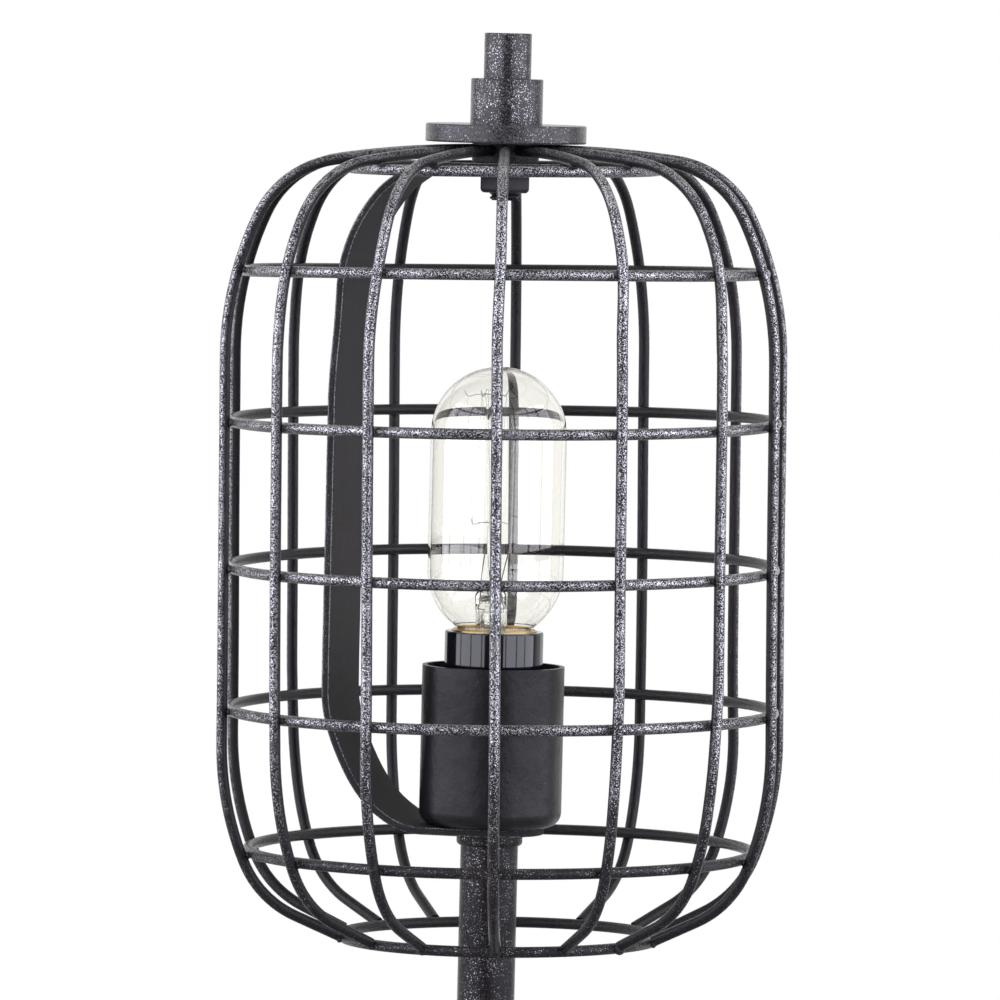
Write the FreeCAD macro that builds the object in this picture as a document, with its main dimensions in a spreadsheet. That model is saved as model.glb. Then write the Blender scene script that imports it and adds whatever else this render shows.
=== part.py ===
import FreeCAD, Part
import math
import os
import re
import Sketcher

# A table lamp with a bent wire cage round a tubular bulb.
# +Z is up, the lamp stands on z = 0 and its pole is the Z axis. Lengths are millimetres, angles degrees.

doc = FreeCAD.newDocument("cage_table_lamp")

# Driving sizes
SIZES = {
    # fits between pieces
    "fit_gap": 0.15,
    "running_gap": 0.3,
    "weld_gap": 0.1,
    # base
    "pad_thickness": 2.0,
    "pad_inset": 2.0,
    "base_radius": 82.5,
    "base_height": 20.0,
    "base_wall": 1.5,
    "base_edge": 7.0,
    "nut_recess_radius": 16.0,
    "nut_recess_depth": 11.0,
    "grommet_level": 7.0,
    "grommet_flange_radius": 6.0,
    "grommet_flange_thickness": 1.5,
    "grommet_neck_radius": 4.6,
    "cord_hole_radius": 3.3,
    # rod, nuts and washers
    "rod_radius": 5.0,
    "rod_bore": 3.5,
    "rod_end": 1.5,
    "nut_flats": 16.0,
    "nut_thickness": 6.0,
    "lock_nut_thickness": 5.0,
    "washer_radius": 9.6,
    "washer_thickness": 1.5,
    # pole
    "flange_radius": 26.5,
    "flange_thickness": 6.0,
    "flange_edge": 0.8,
    "foot_collar_radius": 11.9,
    "foot_collar_height": 15.0,
    "pole_radius": 9.5,
    "pole_wall": 1.5,
    "pole_seat": 10.0,
    "pole_length": 245.0,
    "neck_ring_radius": 10.9,
    "neck_ring_height": 4.0,
    "neck_ring_edge": 1.4,
    "neck_spigot_length": 6.0,
    # harp strap
    "strap_width": 36.0,
    "strap_thickness": 2.5,
    "strap_height": 221.5,
    "strap_reach": 53.8,
    "strap_tight_bend": 30.0,
    "strap_tight_turn": 50.0,
    # lamp holder
    "cup_radius": 23.5,
    "cup_height": 53.0,
    "cup_wall": 1.5,
    "cup_edge": 5.0,
    "socket_radius": 16.3,
    "socket_stand": 11.4,
    "socket_edge": 0.6,
    "socket_cap_thickness": 3.0,
    "socket_spigot_height": 5.0,
    "socket_skirt_wall": 2.6,
    "socket_floor_thickness": 5.0,
    "screw_shell_wall": 0.4,
    "screw_shell_drop": 1.0,
    "thread_gap": 0.4,
    "contact_height": 5.0,
    "contact_radius": 4.5,
    "contact_shank_radius": 2.0,
    "terminal_offset": 8.5,
    "terminal_head_radius": 3.0,
    "terminal_head_height": 2.2,
    "terminal_shank_radius": 1.5,
    "terminal_shank_length": 3.0,
    # bulb
    "bulb_radius": 22.5,
    "bulb_straight": 45.0,
    "glass_wall": 0.8,
    "bulb_neck_radius": 13.2,
    "bulb_rim_radius": 13.9,
    "bulb_rim_height": 4.0,
    "bulb_rim_stand": 1.6,
    "bulb_thread_radius": 13.0,
    "bulb_base_length": 27.0,
    "bulb_base_wall": 0.4,
    "insulator_height": 4.0,
    "tip_radius": 4.5,
    "tip_thickness": 1.5,
    "stem_radius": 5.3,
    "stem_height": 16.0,
    "stem_foot_height": 1.0,
    "stem_rod_radius": 0.8,
    "stem_rod_length": 66.0,
    "lead_wire_radius": 0.3,
    "lead_foot_offset": 3.8,
    "lead_reach": 6.5,
    "lead_rise": 14.0,
    "hook_wire_radius": 0.2,
    "hook_reach": 8.0,
    "hook_inset": 1.0,
    "hook_spacing": 42.0,
    "filament_radius": 0.12,
    "filament_turn": 20.0,
    # wire cage
    "wire_diameter": 3.5,
    "rib_count": 14,
    "rib_drop": 0.3,
    "hub_radius": 11.0,
    "hub_height": 6.5,
    "cage_radius": 93.6,
    "crown_bend": 325.0,
    "shoulder_bend": 33.5,
    "upper_side_bend": 108.0,
    "shoulder_turn": 64.3,
    "lower_side_bend": 104.5,
    "lower_turn": 68.0,
    "heel_bend": 33.8,
    "heel_slope": 24.8,
    "top_ring_radius": 51.0,
    "ring_1_drop": 42.2,
    "ring_2_drop": 91.5,
    "ring_3_drop": 139.6,
    "ring_4_drop": 186.8,
    "ring_5_drop": 233.4,
    "bottom_ring_drop": 261.9,
    "bottom_ring_radius": 52.3,
    # stud and finial
    "shoulder_radius": 8.0,
    "shoulder_thickness": 2.5,
    "stud_end": 2.5,
    "stud_length": 37.5,
    "disc_radius": 26.5,
    "disc_thickness": 6.0,
    "disc_edge": 0.6,
    "finial_collar_radius": 11.9,
    "finial_collar_height": 15.0,
    "finial_edge": 0.5,
    "knob_radius": 7.8,
    "knob_height": 15.0,
    "knob_roof": 4.5,
    "sleeve_radius": 6.8,
    "lip_radius": 8.2,
    "lip_thickness": 1.0,
}

# Places worked out from the driving sizes, from the table up
PLACES = {
    # base and pole
    "pad_radius": "base_radius - pad_inset",
    "base_top": "pad_thickness + base_height",
    "weight_radius": "base_radius - base_wall - fit_gap",
    "weight_top": "base_top - base_wall",
    "recess_top": "pad_thickness + nut_recess_depth",
    "base_nut_bottom": "recess_top - washer_thickness - nut_thickness",
    "rod_bottom": "base_nut_bottom - rod_end",
    "rod_hole": "rod_radius + fit_gap",
    "shell_inside": "base_radius - base_wall",
    "grommet_height": "pad_thickness + grommet_level",
    "grommet_hole": "grommet_neck_radius + fit_gap",
    "grommet_grip": "base_wall + shell_inside - sqrt(shell_inside^2 - grommet_flange_radius^2) + fit_gap",
    "channel_side": "grommet_flange_radius + running_gap",
    "channel_top": "grommet_height + channel_side",
    "flange_top": "base_top + flange_thickness",
    "foot_collar_top": "flange_top + foot_collar_height",
    "pole_bottom": "foot_collar_top - pole_seat",
    "pole_top": "pole_bottom + pole_length",
    "pole_bore": "pole_radius - pole_wall",
    # harp strap
    "strap_bottom": "pole_top + neck_ring_height",
    "strap_top": "strap_bottom + strap_height",
    "strap_inside_bottom": "strap_bottom + strap_thickness",
    "strap_inside_top": "strap_top - strap_thickness",
    "strap_bend_start": "cup_radius - cup_edge + weld_gap",
    "strap_wide_bend": "(strap_reach - strap_bend_start - strap_tight_bend * sin(strap_tight_turn))"
                       " / (1 - sin(strap_tight_turn))",
    "strap_join_out": "strap_bend_start + strap_tight_bend * sin(strap_tight_turn)",
    "strap_join_in": "strap_join_out - strap_thickness * sin(strap_tight_turn)",
    "strap_join_rise": "strap_tight_bend * (1 - cos(strap_tight_turn))",
    "strap_join_rise_in": "strap_join_rise + strap_thickness * cos(strap_tight_turn)",
    "strap_bend_rise": "strap_join_rise + strap_wide_bend * cos(strap_tight_turn)",
    # lamp holder
    "cup_floor": "strap_inside_bottom + cup_wall",
    "cup_top": "strap_inside_bottom + cup_height",
    "lock_nut_top": "cup_floor + lock_nut_thickness",
    "cap_top": "lock_nut_top + socket_cap_thickness",
    "rod_top": "cap_top + socket_spigot_height - rod_end",
    "socket_top": "cup_top + socket_stand",
    "skirt_bore": "socket_radius - socket_skirt_wall",
    "bulb_rim_top": "socket_top + bulb_rim_stand",
    "bulb_rim_bottom": "bulb_rim_top - bulb_rim_height",
    "bulb_tip": "bulb_rim_top - bulb_base_length",
    "socket_floor": "bulb_tip - running_gap - contact_height",
    "socket_floor_bottom": "socket_floor - socket_floor_thickness",
    "contact_hole": "contact_shank_radius + fit_gap",
    "screw_shell_inside": "bulb_thread_radius + thread_gap",
    "screw_shell_outside": "screw_shell_inside + screw_shell_wall",
    "screw_shell_top": "bulb_rim_bottom - screw_shell_drop",
    "socket_mouth": "bulb_rim_radius + running_gap",
    "socket_mouth_bottom": "bulb_rim_bottom - running_gap",
    # bulb
    "bulb_lower_centre": "bulb_rim_top + sqrt(bulb_radius^2 - bulb_neck_radius^2)",
    "bulb_upper_centre": "bulb_lower_centre + bulb_straight",
    "bulb_top": "bulb_upper_centre + bulb_radius",
    "glass_inside": "bulb_radius - glass_wall",
    "neck_inside": "bulb_neck_radius - glass_wall",
    "neck_bottom": "bulb_rim_bottom + bulb_base_wall",
    "neck_inside_top": "bulb_lower_centre - sqrt(glass_inside^2 - neck_inside^2)",
    "insulator_bottom": "bulb_tip + tip_thickness",
    "thread_bottom": "insulator_bottom + insulator_height",
    "stem_foot_radius": "neck_inside - fit_gap",
    "stem_top": "neck_bottom + stem_height",
    "stem_rod_top": "stem_top + stem_rod_length",
    "lead_foot": "stem_top + weld_gap",
    "lead_top": "lead_foot + lead_rise",
    "upper_hooks": "stem_rod_top - hook_inset",
    "lower_hooks": "upper_hooks - hook_spacing",
    "filament_reach": "hook_reach + filament_radius + weld_gap",
    # finial and stud
    "hub_top": "strap_top + hub_height",
    "disc_top": "hub_top + disc_thickness",
    "finial_collar_top": "disc_top + finial_collar_height",
    "knob_top": "finial_collar_top + knob_height",
    "stud_top": "strap_top + stud_length",
    "stud_bore": "rod_radius + running_gap",
    "harp_nut_top": "strap_inside_top - washer_thickness",
    "harp_nut_bottom": "harp_nut_top - nut_thickness",
    "stud_bottom": "harp_nut_bottom - stud_end",
    "shoulder_top": "strap_top + shoulder_thickness",
    "sleeve_bore": "sleeve_radius + running_gap",
    "lip_bottom": "hub_top + running_gap",
    "lip_top": "lip_bottom + lip_thickness",
    # wire cage
    "wire_radius": "wire_diameter / 2",
    "rib_start": "hub_radius + weld_gap",
    "rib_start_height": "hub_top - rib_drop - wire_radius",
    "rib_butt": "wire_radius + weld_gap",
    "bottom_ring_height": "hub_top - bottom_ring_drop",
    "rib_end": "bottom_ring_radius + rib_butt * cos(heel_slope)",
    "rib_end_height": "bottom_ring_height + rib_butt * sin(heel_slope)",
    "crown_sine": "(cage_radius - rib_start - upper_side_bend"
                  " + (upper_side_bend - shoulder_bend) * sin(shoulder_turn)) / (crown_bend - shoulder_bend)",
    "crown_cosine": "sqrt(1 - crown_sine^2)",
    "crown_end": "rib_start + crown_bend * crown_sine",
    "crown_end_height": "rib_start_height - crown_bend * (1 - crown_cosine)",
    "shoulder_end": "cage_radius - upper_side_bend * (1 - sin(shoulder_turn))",
    "shoulder_end_height": "crown_end_height - shoulder_bend * (crown_cosine - cos(shoulder_turn))",
    "side_start_height": "shoulder_end_height - upper_side_bend * cos(shoulder_turn)",
    "heel_start": "cage_radius - lower_side_bend * (1 - sin(lower_turn))",
    "heel_end": "heel_start - heel_bend * (sin(lower_turn) - sin(heel_slope))",
    "heel_end_height": "rib_end_height + (heel_end - rib_end) * tan(heel_slope)",
    "heel_start_height": "heel_end_height + heel_bend * (cos(heel_slope) - cos(lower_turn))",
    "side_end_height": "heel_start_height + lower_side_bend * cos(lower_turn)",
}


def bound(text):
    """Puts the name of its sheet before each size in an expression."""

    def with_sheet(match):
        word = match.group(0)
        if word in SIZES:
            return f"sizes.{word}"
        if word in PLACES or word in RING_PLACES:
            return f"places.{word}"
        return word

    return re.sub(r"[a-z_][a-z_0-9]*", with_sheet, text)


def value(text):
    """The number that an expression gives now."""
    return float(sizes.evalExpression(bound(text)))


def fill_cell(sheet, row, alias, text):
    """Writes one named cell."""
    sheet.set(f"A{row}", alias)
    sheet.set(f"B{row}", text)
    sheet.setAlias(f"B{row}", alias)


sizes = doc.addObject("Spreadsheet::Sheet", "sizes")
for row, (alias, number) in enumerate(SIZES.items(), start=1):
    fill_cell(sizes, row, alias, str(number))
RING_PLACES = []
places = doc.addObject("Spreadsheet::Sheet", "places")
for row, (alias, formula) in enumerate(PLACES.items(), start=1):
    fill_cell(places, row, alias, "=" + bound(formula))
doc.recompute()

sub_parts = []


def keep(piece, name):
    """Names a finished sub-part and puts it on the list to be written."""
    piece.Label = name
    sub_parts.append(piece)
    return piece


# Sketches

def new_sketch(body, name, role, offset=None):
    """A sketch on one of the body's own origin planes, moved along its normal by an expression."""
    sketch = body.newObject("Sketcher::SketchObject", name)
    plane = next(feature for feature in body.Origin.OriginFeatures if feature.Role == role)
    sketch.AttachmentSupport = [(plane, "")]
    sketch.MapMode = "FlatFace"
    if offset:
        sketch.setExpression("AttachmentOffset.Base.z", bound(offset))
    return sketch


def pin(sketch, curve, end, x, y):
    """Holds a point of a curve at the place that two expressions give."""
    for kind, text, axis in (("DistanceX", x, -2), ("DistanceY", y, -1)):
        if text == "0":
            sketch.addConstraint(Sketcher.Constraint("PointOnObject", curve, end, axis))
        else:
            index = sketch.addConstraint(Sketcher.Constraint(kind, -1, 1, curve, end, value(text)))
            sketch.setExpression(f"Constraints[{index}]", bound(text))


def arc_between(start, end, radius, turn):
    """The shorter arc from start to end, turning left (1) or right (-1)."""
    chord = end - start
    half = chord.Length / 2
    bow = radius - math.sqrt(max(radius**2 - half**2, 0.0))
    to_the_right = FreeCAD.Vector(chord.y, -chord.x, 0).normalize()
    middle = (start + end) * 0.5 + to_the_right * (bow * turn)
    return Part.ArcOfCircle(start, middle, end)


def draw_path(sketch, corners, closed):
    """Draws a chain of lines and arcs through corners.

    A corner is (x, y), reached by a line, or (x, y, radius, turn), reached by an arc. Its texts are
    expressions.
    """
    points = [FreeCAD.Vector(value(corner[0]), value(corner[1]), 0) for corner in corners]
    first = 0 if closed else 1
    last_end = None
    for index in range(first, len(corners)):
        corner = corners[index]
        start = points[index - 1]
        end = points[index]
        if len(corner) == 2:
            curve = sketch.addGeometry(Part.LineSegment(start, end), False)
        else:
            curve = sketch.addGeometry(arc_between(start, end, value(corner[2]), corner[3]), False)
        from_first = sketch.getPoint(curve, 1).distanceToPoint(start)
        from_second = sketch.getPoint(curve, 2).distanceToPoint(start)
        near, far = (2, 1) if from_first > from_second else (1, 2)
        if last_end is None:
            first_start = (curve, near)
            if not closed:
                pin(sketch, curve, near, corners[0][0], corners[0][1])
        else:
            sketch.addConstraint(Sketcher.Constraint("Coincident", *last_end, curve, near))
        pin(sketch, curve, far, corner[0], corner[1])
        if len(corner) == 4:
            size = sketch.addConstraint(Sketcher.Constraint("Radius", curve, value(corner[2])))
            sketch.setExpression(f"Constraints[{size}]", bound(corner[2]))
        last_end = (curve, far)
    if closed:
        sketch.addConstraint(Sketcher.Constraint("Coincident", *last_end, *first_start))


def draw_circle(sketch, x, y, radius):
    """Draws a circle at the place and size that the expressions give."""
    centre = FreeCAD.Vector(value(x), value(y), 0)
    circle = Part.Circle(centre, FreeCAD.Vector(0, 0, 1), value(radius))
    curve = sketch.addGeometry(circle, False)
    pin(sketch, curve, 3, x, y)
    size = sketch.addConstraint(Sketcher.Constraint("Radius", curve, value(radius)))
    sketch.setExpression(f"Constraints[{size}]", bound(radius))


# Solids

def turned(name, corners):
    """A piece turned about its own Z axis from an outline of (radius, height) corners."""
    body = doc.addObject("PartDesign::Body", name)
    sketch = new_sketch(body, f"{name}_outline", "XZ_Plane")
    draw_path(sketch, corners, closed=True)
    turn = body.newObject("PartDesign::Revolution", f"{name}_turn")
    turn.Profile = sketch
    turn.ReferenceAxis = (sketch, ["V_Axis"])
    turn.Angle = 360
    doc.recompute()
    return keep(body, name)


def ring_corners(inner, outer, bottom, top):
    """The corners of a plain ring or disc."""
    return [(inner, bottom), (outer, bottom), (outer, top), (inner, top)]


def round_edges(body, radius, edges):
    """Rounds the circular edges found at the given radii and heights."""
    tolerance = 1e-4
    wanted = [(value(edge_radius), value(height)) for edge_radius, height in edges]
    base = body.Tip
    names = []
    for index, edge in enumerate(base.Shape.Edges, start=1):
        if not isinstance(edge.Curve, Part.Circle):
            continue
        found = (edge.Curve.Radius, edge.Curve.Center.z)
        if any(math.dist(found, place) < tolerance for place in wanted):
            names.append(f"Edge{index}")
    fillet = body.newObject("PartDesign::Fillet", f"{body.Name}_rounding")
    fillet.Base = (base, names)
    fillet.setExpression("Radius", bound(radius))
    doc.recompute()


def cut_through(body, sketch, name, reversed_way=False, both_ways=False):
    """Cuts a sketch right through a body, and makes sure that something was cut."""
    before = body.Shape.Volume
    pocket = body.newObject("PartDesign::Pocket", name)
    pocket.Profile = sketch
    pocket.Type = "ThroughAll"
    if both_ways:
        pocket.SideType = "Symmetric"
    pocket.Reversed = reversed_way
    doc.recompute()
    if body.Shape.Volume >= before:
        raise ValueError(f"{name} cuts nothing")
    return pocket


def place_on_axis(piece, height):
    """Sets a piece at a height on the lamp's axis."""
    piece.setExpression("Placement.Base.z", bound(height))


def hex_nut(name, bottom, thickness):
    """A hexagon nut whose lower corners are chamfered at 30 degrees."""
    prism = doc.addObject("Part::Prism", f"{name}_prism")
    prism.Polygon = 6
    prism.setExpression("Circumradius", bound("nut_flats / sqrt(3)"))
    prism.setExpression("Height", bound(thickness))
    cone = doc.addObject("Part::Cone", f"{name}_chamfer")
    cone.setExpression("Radius1", bound("nut_flats / 2"))
    cone.setExpression("Radius2", bound(f"nut_flats / 2 + {thickness} * sqrt(3)"))
    cone.setExpression("Height", bound(thickness))
    blank = doc.addObject("Part::Common", f"{name}_blank")
    blank.Base = prism
    blank.Tool = cone
    hole = doc.addObject("Part::Cylinder", f"{name}_hole")
    hole.setExpression("Radius", bound("rod_hole"))
    hole.setExpression("Height", bound(thickness))
    nut = doc.addObject("Part::Cut", name)
    nut.Base = blank
    nut.Tool = hole
    place_on_axis(nut, bottom)
    return keep(nut, name)


def wire_between(name, start, end, radius):
    """A straight wire with its two ends at the given points."""
    wire = doc.addObject("Part::Cylinder", name)
    wire.setExpression("Radius", bound(radius))
    wire.Height = start.distanceToPoint(end)
    wire.Placement = FreeCAD.Placement(start, FreeCAD.Rotation(FreeCAD.Vector(0, 0, 1), end - start))
    return wire


def group(name, pieces):
    """Like pieces that share one node and stay separate solids."""
    compound = doc.addObject("Part::Compound", name)
    compound.Links = pieces
    return keep(compound, name)


def at_angle(reach, angle, height):
    """A point at a distance from the axis, in a direction, at a height."""
    direction = math.radians(angle)
    return FreeCAD.Vector(reach * math.cos(direction), reach * math.sin(direction), height)


# Base: felt pad, iron weight, spun steel cover and the rubber grommet of the cord inlet

turned("base_pad", ring_corners("0", "pad_radius", "0", "pad_thickness"))

weight = turned("base_weight", [
    ("rod_hole", "recess_top"),
    ("nut_recess_radius", "recess_top"),
    ("nut_recess_radius", "pad_thickness"),
    ("weight_radius", "pad_thickness"),
    ("weight_radius", "weight_top"),
    ("rod_hole", "weight_top"),
])
round_edges(weight, "base_edge", [("weight_radius", "weight_top")])
channel = new_sketch(weight, "cord_channel_outline", "XZ_Plane")
draw_path(channel, [
    ("-channel_side", "pad_thickness"),
    ("channel_side", "pad_thickness"),
    ("channel_side", "channel_top"),
    ("-channel_side", "channel_top"),
], closed=True)
cut_through(weight, channel, "cord_channel")

shell = turned("base_shell", [
    ("rod_hole", "weight_top"),
    ("shell_inside", "weight_top"),
    ("shell_inside", "pad_thickness"),
    ("base_radius", "pad_thickness"),
    ("base_radius", "base_top"),
    ("rod_hole", "base_top"),
])
round_edges(shell, "base_edge", [("base_radius", "base_top")])
round_edges(shell, "base_edge - base_wall", [("shell_inside", "weight_top")])
inlet = new_sketch(shell, "cord_inlet_outline", "XZ_Plane")
draw_circle(inlet, "0", "grommet_height", "grommet_hole")
cut_through(shell, inlet, "cord_inlet")

# The grommet is turned about its own axis with z = 0 on the cover's outside, then laid along +Y
grommet = turned("cord_grommet", [
    ("cord_hole_radius", "-grommet_grip - grommet_flange_thickness"),
    ("grommet_flange_radius", "-grommet_grip - grommet_flange_thickness"),
    ("grommet_flange_radius", "-grommet_grip"),
    ("grommet_neck_radius", "-grommet_grip"),
    ("grommet_neck_radius", "fit_gap"),
    ("grommet_flange_radius", "fit_gap"),
    ("grommet_flange_radius", "fit_gap + grommet_flange_thickness"),
    ("cord_hole_radius", "fit_gap + grommet_flange_thickness"),
])
grommet.Placement.Rotation = FreeCAD.Rotation(FreeCAD.Vector(1, 0, 0), -90)
grommet.setExpression("Placement.Base.y", bound("base_radius"))
grommet.setExpression("Placement.Base.z", bound("grommet_height"))

# Rod and the stack that it clamps, from the base nut to the lamp holder

turned("base_washer", ring_corners("rod_hole", "washer_radius", "recess_top - washer_thickness", "recess_top"))
hex_nut("base_hex_nut", "base_nut_bottom", "nut_thickness")
turned("threaded_rod", ring_corners("rod_bore", "rod_radius", "rod_bottom", "rod_top"))

flange = turned("base_flange", ring_corners("rod_hole", "flange_radius", "base_top", "flange_top"))
round_edges(flange, "flange_edge", [("flange_radius", "flange_top"), ("flange_radius", "base_top")])

foot_collar = turned("pole_foot_collar", [
    ("rod_hole", "flange_top"),
    ("foot_collar_radius", "flange_top"),
    ("foot_collar_radius", "foot_collar_top"),
    ("pole_radius + fit_gap", "foot_collar_top"),
    ("pole_radius + fit_gap", "pole_bottom"),
    ("rod_hole", "pole_bottom"),
])
round_edges(foot_collar, "finial_edge", [("foot_collar_radius", "foot_collar_top")])

turned("pole_tube", ring_corners("pole_bore", "pole_radius", "pole_bottom", "pole_top"))

neck_ring = turned("pole_neck_ring", [
    ("rod_hole", "pole_top - neck_spigot_length"),
    ("pole_bore - fit_gap", "pole_top - neck_spigot_length"),
    ("pole_bore - fit_gap", "pole_top"),
    ("neck_ring_radius", "pole_top"),
    ("neck_ring_radius", "strap_bottom"),
    ("rod_hole", "strap_bottom"),
])
round_edges(neck_ring, "neck_ring_edge", [("neck_ring_radius", "pole_top")])

# Harp strap: a flat bar bent to a C, with a round tab and a hole at each end.
# It is drawn towards +X and turned half round, so that it stands on the lamp's -X side.

strap = doc.addObject("PartDesign::Body", "harp_strap")
strap_outline = new_sketch(strap, "harp_strap_outline", "XZ_Plane")
TURN_LEFT = 1
TURN_RIGHT = -1
draw_path(strap_outline, [
    ("0", "strap_bottom"),
    ("strap_bend_start", "strap_bottom"),
    ("strap_join_out", "strap_bottom + strap_join_rise", "strap_tight_bend", TURN_LEFT),
    ("strap_reach", "strap_bottom + strap_bend_rise", "strap_wide_bend", TURN_LEFT),
    ("strap_reach", "strap_top - strap_bend_rise"),
    ("strap_join_out", "strap_top - strap_join_rise", "strap_wide_bend", TURN_LEFT),
    ("strap_bend_start", "strap_top", "strap_tight_bend", TURN_LEFT),
    ("0", "strap_top"),
    ("0", "strap_inside_top"),
    ("strap_bend_start", "strap_inside_top"),
    ("strap_join_in", "strap_top - strap_join_rise_in", "strap_tight_bend - strap_thickness", TURN_RIGHT),
    ("strap_reach - strap_thickness", "strap_top - strap_bend_rise",
     "strap_wide_bend - strap_thickness", TURN_RIGHT),
    ("strap_reach - strap_thickness", "strap_bottom + strap_bend_rise"),
    ("strap_join_in", "strap_bottom + strap_join_rise_in", "strap_wide_bend - strap_thickness", TURN_RIGHT),
    ("strap_bend_start", "strap_inside_bottom", "strap_tight_bend - strap_thickness", TURN_RIGHT),
    ("0", "strap_inside_bottom"),
], closed=True)
bar = strap.newObject("PartDesign::Pad", "harp_strap_bar")
bar.Profile = strap_outline
bar.SideType = "Symmetric"
bar.setExpression("Length", bound("strap_width"))
for end_name, height in (("lower", "strap_bottom"), ("upper", "strap_inside_top")):
    tab_outline = new_sketch(strap, f"{end_name}_tab_outline", "XY_Plane", height)
    draw_circle(tab_outline, "0", "0", "strap_width / 2")
    tab = strap.newObject("PartDesign::Pad", f"{end_name}_tab")
    tab.Profile = tab_outline
    tab.setExpression("Length", bound("strap_thickness"))
doc.recompute()
strap_holes = new_sketch(strap, "harp_strap_hole_outline", "XY_Plane")
draw_circle(strap_holes, "0", "0", "rod_hole")
cut_through(strap, strap_holes, "harp_strap_holes", reversed_way=True)
strap.Placement.Rotation = FreeCAD.Rotation(FreeCAD.Vector(0, 0, 1), 180)
keep(strap, "harp_strap")

# Lamp holder: steel cup, lock nut, cap, phenolic body, screw shell, centre contact and terminal screws

cup = turned("socket_cup", [
    ("rod_hole", "strap_inside_bottom"),
    ("cup_radius", "strap_inside_bottom"),
    ("cup_radius", "cup_top"),
    ("cup_radius - cup_wall", "cup_top"),
    ("cup_radius - cup_wall", "cup_floor"),
    ("rod_hole", "cup_floor"),
])
round_edges(cup, "cup_edge", [("cup_radius", "strap_inside_bottom")])
round_edges(cup, "cup_edge - cup_wall", [("cup_radius - cup_wall", "cup_floor")])

hex_nut("socket_lock_nut", "cup_floor", "lock_nut_thickness")

turned("socket_cap", [
    ("rod_hole", "lock_nut_top"),
    ("socket_radius", "lock_nut_top"),
    ("socket_radius", "cap_top"),
    ("skirt_bore - fit_gap", "cap_top"),
    ("skirt_bore - fit_gap", "cap_top + socket_spigot_height"),
    ("rod_hole", "cap_top + socket_spigot_height"),
])

holder = turned("socket_body", [
    ("contact_hole", "socket_floor_bottom"),
    ("skirt_bore", "socket_floor_bottom"),
    ("skirt_bore", "cap_top"),
    ("socket_radius", "cap_top"),
    ("socket_radius", "socket_top"),
    ("socket_mouth", "socket_top"),
    ("socket_mouth", "socket_mouth_bottom"),
    ("screw_shell_outside + fit_gap", "socket_mouth_bottom"),
    ("screw_shell_outside + fit_gap", "socket_floor"),
    ("contact_hole", "socket_floor"),
])
round_edges(holder, "socket_edge", [("socket_radius", "socket_top")])
terminal_hole = new_sketch(holder, "terminal_hole_outline", "XY_Plane", "socket_floor_bottom")
draw_circle(terminal_hole, "terminal_offset", "0", "terminal_shank_radius + fit_gap")
first_hole = holder.newObject("PartDesign::Pocket", "terminal_hole")
first_hole.Profile = terminal_hole
first_hole.setExpression("Length", bound("terminal_shank_length + fit_gap"))
first_hole.Reversed = True
both_holes = holder.newObject("PartDesign::PolarPattern", "terminal_holes")
both_holes.Originals = [first_hole]
both_holes.Axis = (terminal_hole, ["N_Axis"])
both_holes.Angle = 360
both_holes.Occurrences = 2
holder.Tip = both_holes

turned("socket_screw_shell", ring_corners(
    "screw_shell_inside", "screw_shell_outside", "socket_floor", "screw_shell_top"))

turned("socket_centre_contact", [
    ("0", "socket_floor_bottom"),
    ("contact_shank_radius", "socket_floor_bottom"),
    ("contact_shank_radius", "socket_floor"),
    ("contact_radius", "socket_floor"),
    ("contact_radius", "socket_floor + contact_height"),
    ("0", "socket_floor + contact_height"),
])


def terminal_screw(side):
    """One terminal screw: its head under the socket's floor and its shank up in the hole."""
    head = doc.addObject("Part::Cylinder", f"terminal_head_{side}")
    head.setExpression("Radius", bound("terminal_head_radius"))
    head.setExpression("Height", bound("terminal_head_height"))
    head.setExpression("Placement.Base.z", bound("socket_floor_bottom - terminal_head_height"))
    shank = doc.addObject("Part::Cylinder", f"terminal_shank_{side}")
    shank.setExpression("Radius", bound("terminal_shank_radius"))
    shank.setExpression("Height", bound("terminal_shank_length"))
    shank.setExpression("Placement.Base.z", bound("socket_floor_bottom"))
    screw = doc.addObject("Part::Fuse", f"terminal_screw_{side}")
    screw.Base = head
    screw.Tool = shank
    sign = "" if side == "right" else "-"
    screw.setExpression("Placement.Base.x", bound(f"{sign}terminal_offset"))
    return screw


group("socket_terminal_screws", [terminal_screw("right"), terminal_screw("left")])

# Bulb: glass envelope, screw base with insulator and tip, and the stem with its wires and filament

turned("bulb_glass", [
    ("0", "bulb_top"),
    ("bulb_radius", "bulb_upper_centre", "bulb_radius", TURN_RIGHT),
    ("bulb_radius", "bulb_lower_centre"),
    ("bulb_neck_radius", "bulb_rim_top", "bulb_radius", TURN_RIGHT),
    ("bulb_neck_radius", "neck_bottom"),
    ("neck_inside", "neck_bottom"),
    ("neck_inside", "neck_inside_top"),
    ("glass_inside", "bulb_lower_centre", "glass_inside", TURN_LEFT),
    ("glass_inside", "bulb_upper_centre"),
    ("0", "bulb_top - glass_wall", "glass_inside", TURN_LEFT),
])

turned("bulb_screw_base", [
    ("bulb_thread_radius - bulb_base_wall", "thread_bottom"),
    ("bulb_thread_radius", "thread_bottom"),
    ("bulb_thread_radius", "bulb_rim_bottom"),
    ("bulb_rim_radius", "bulb_rim_bottom"),
    ("bulb_rim_radius", "bulb_rim_top"),
    ("bulb_neck_radius + fit_gap", "bulb_rim_top"),
    ("bulb_neck_radius + fit_gap", "neck_bottom"),
    ("bulb_thread_radius - bulb_base_wall", "neck_bottom"),
])

turned("bulb_base_insulator", [
    ("0", "insulator_bottom"),
    ("tip_radius", "insulator_bottom"),
    ("bulb_thread_radius", "thread_bottom"),
    ("0", "thread_bottom"),
])

turned("bulb_tip_contact", ring_corners("0", "tip_radius", "bulb_tip", "insulator_bottom"))

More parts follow.
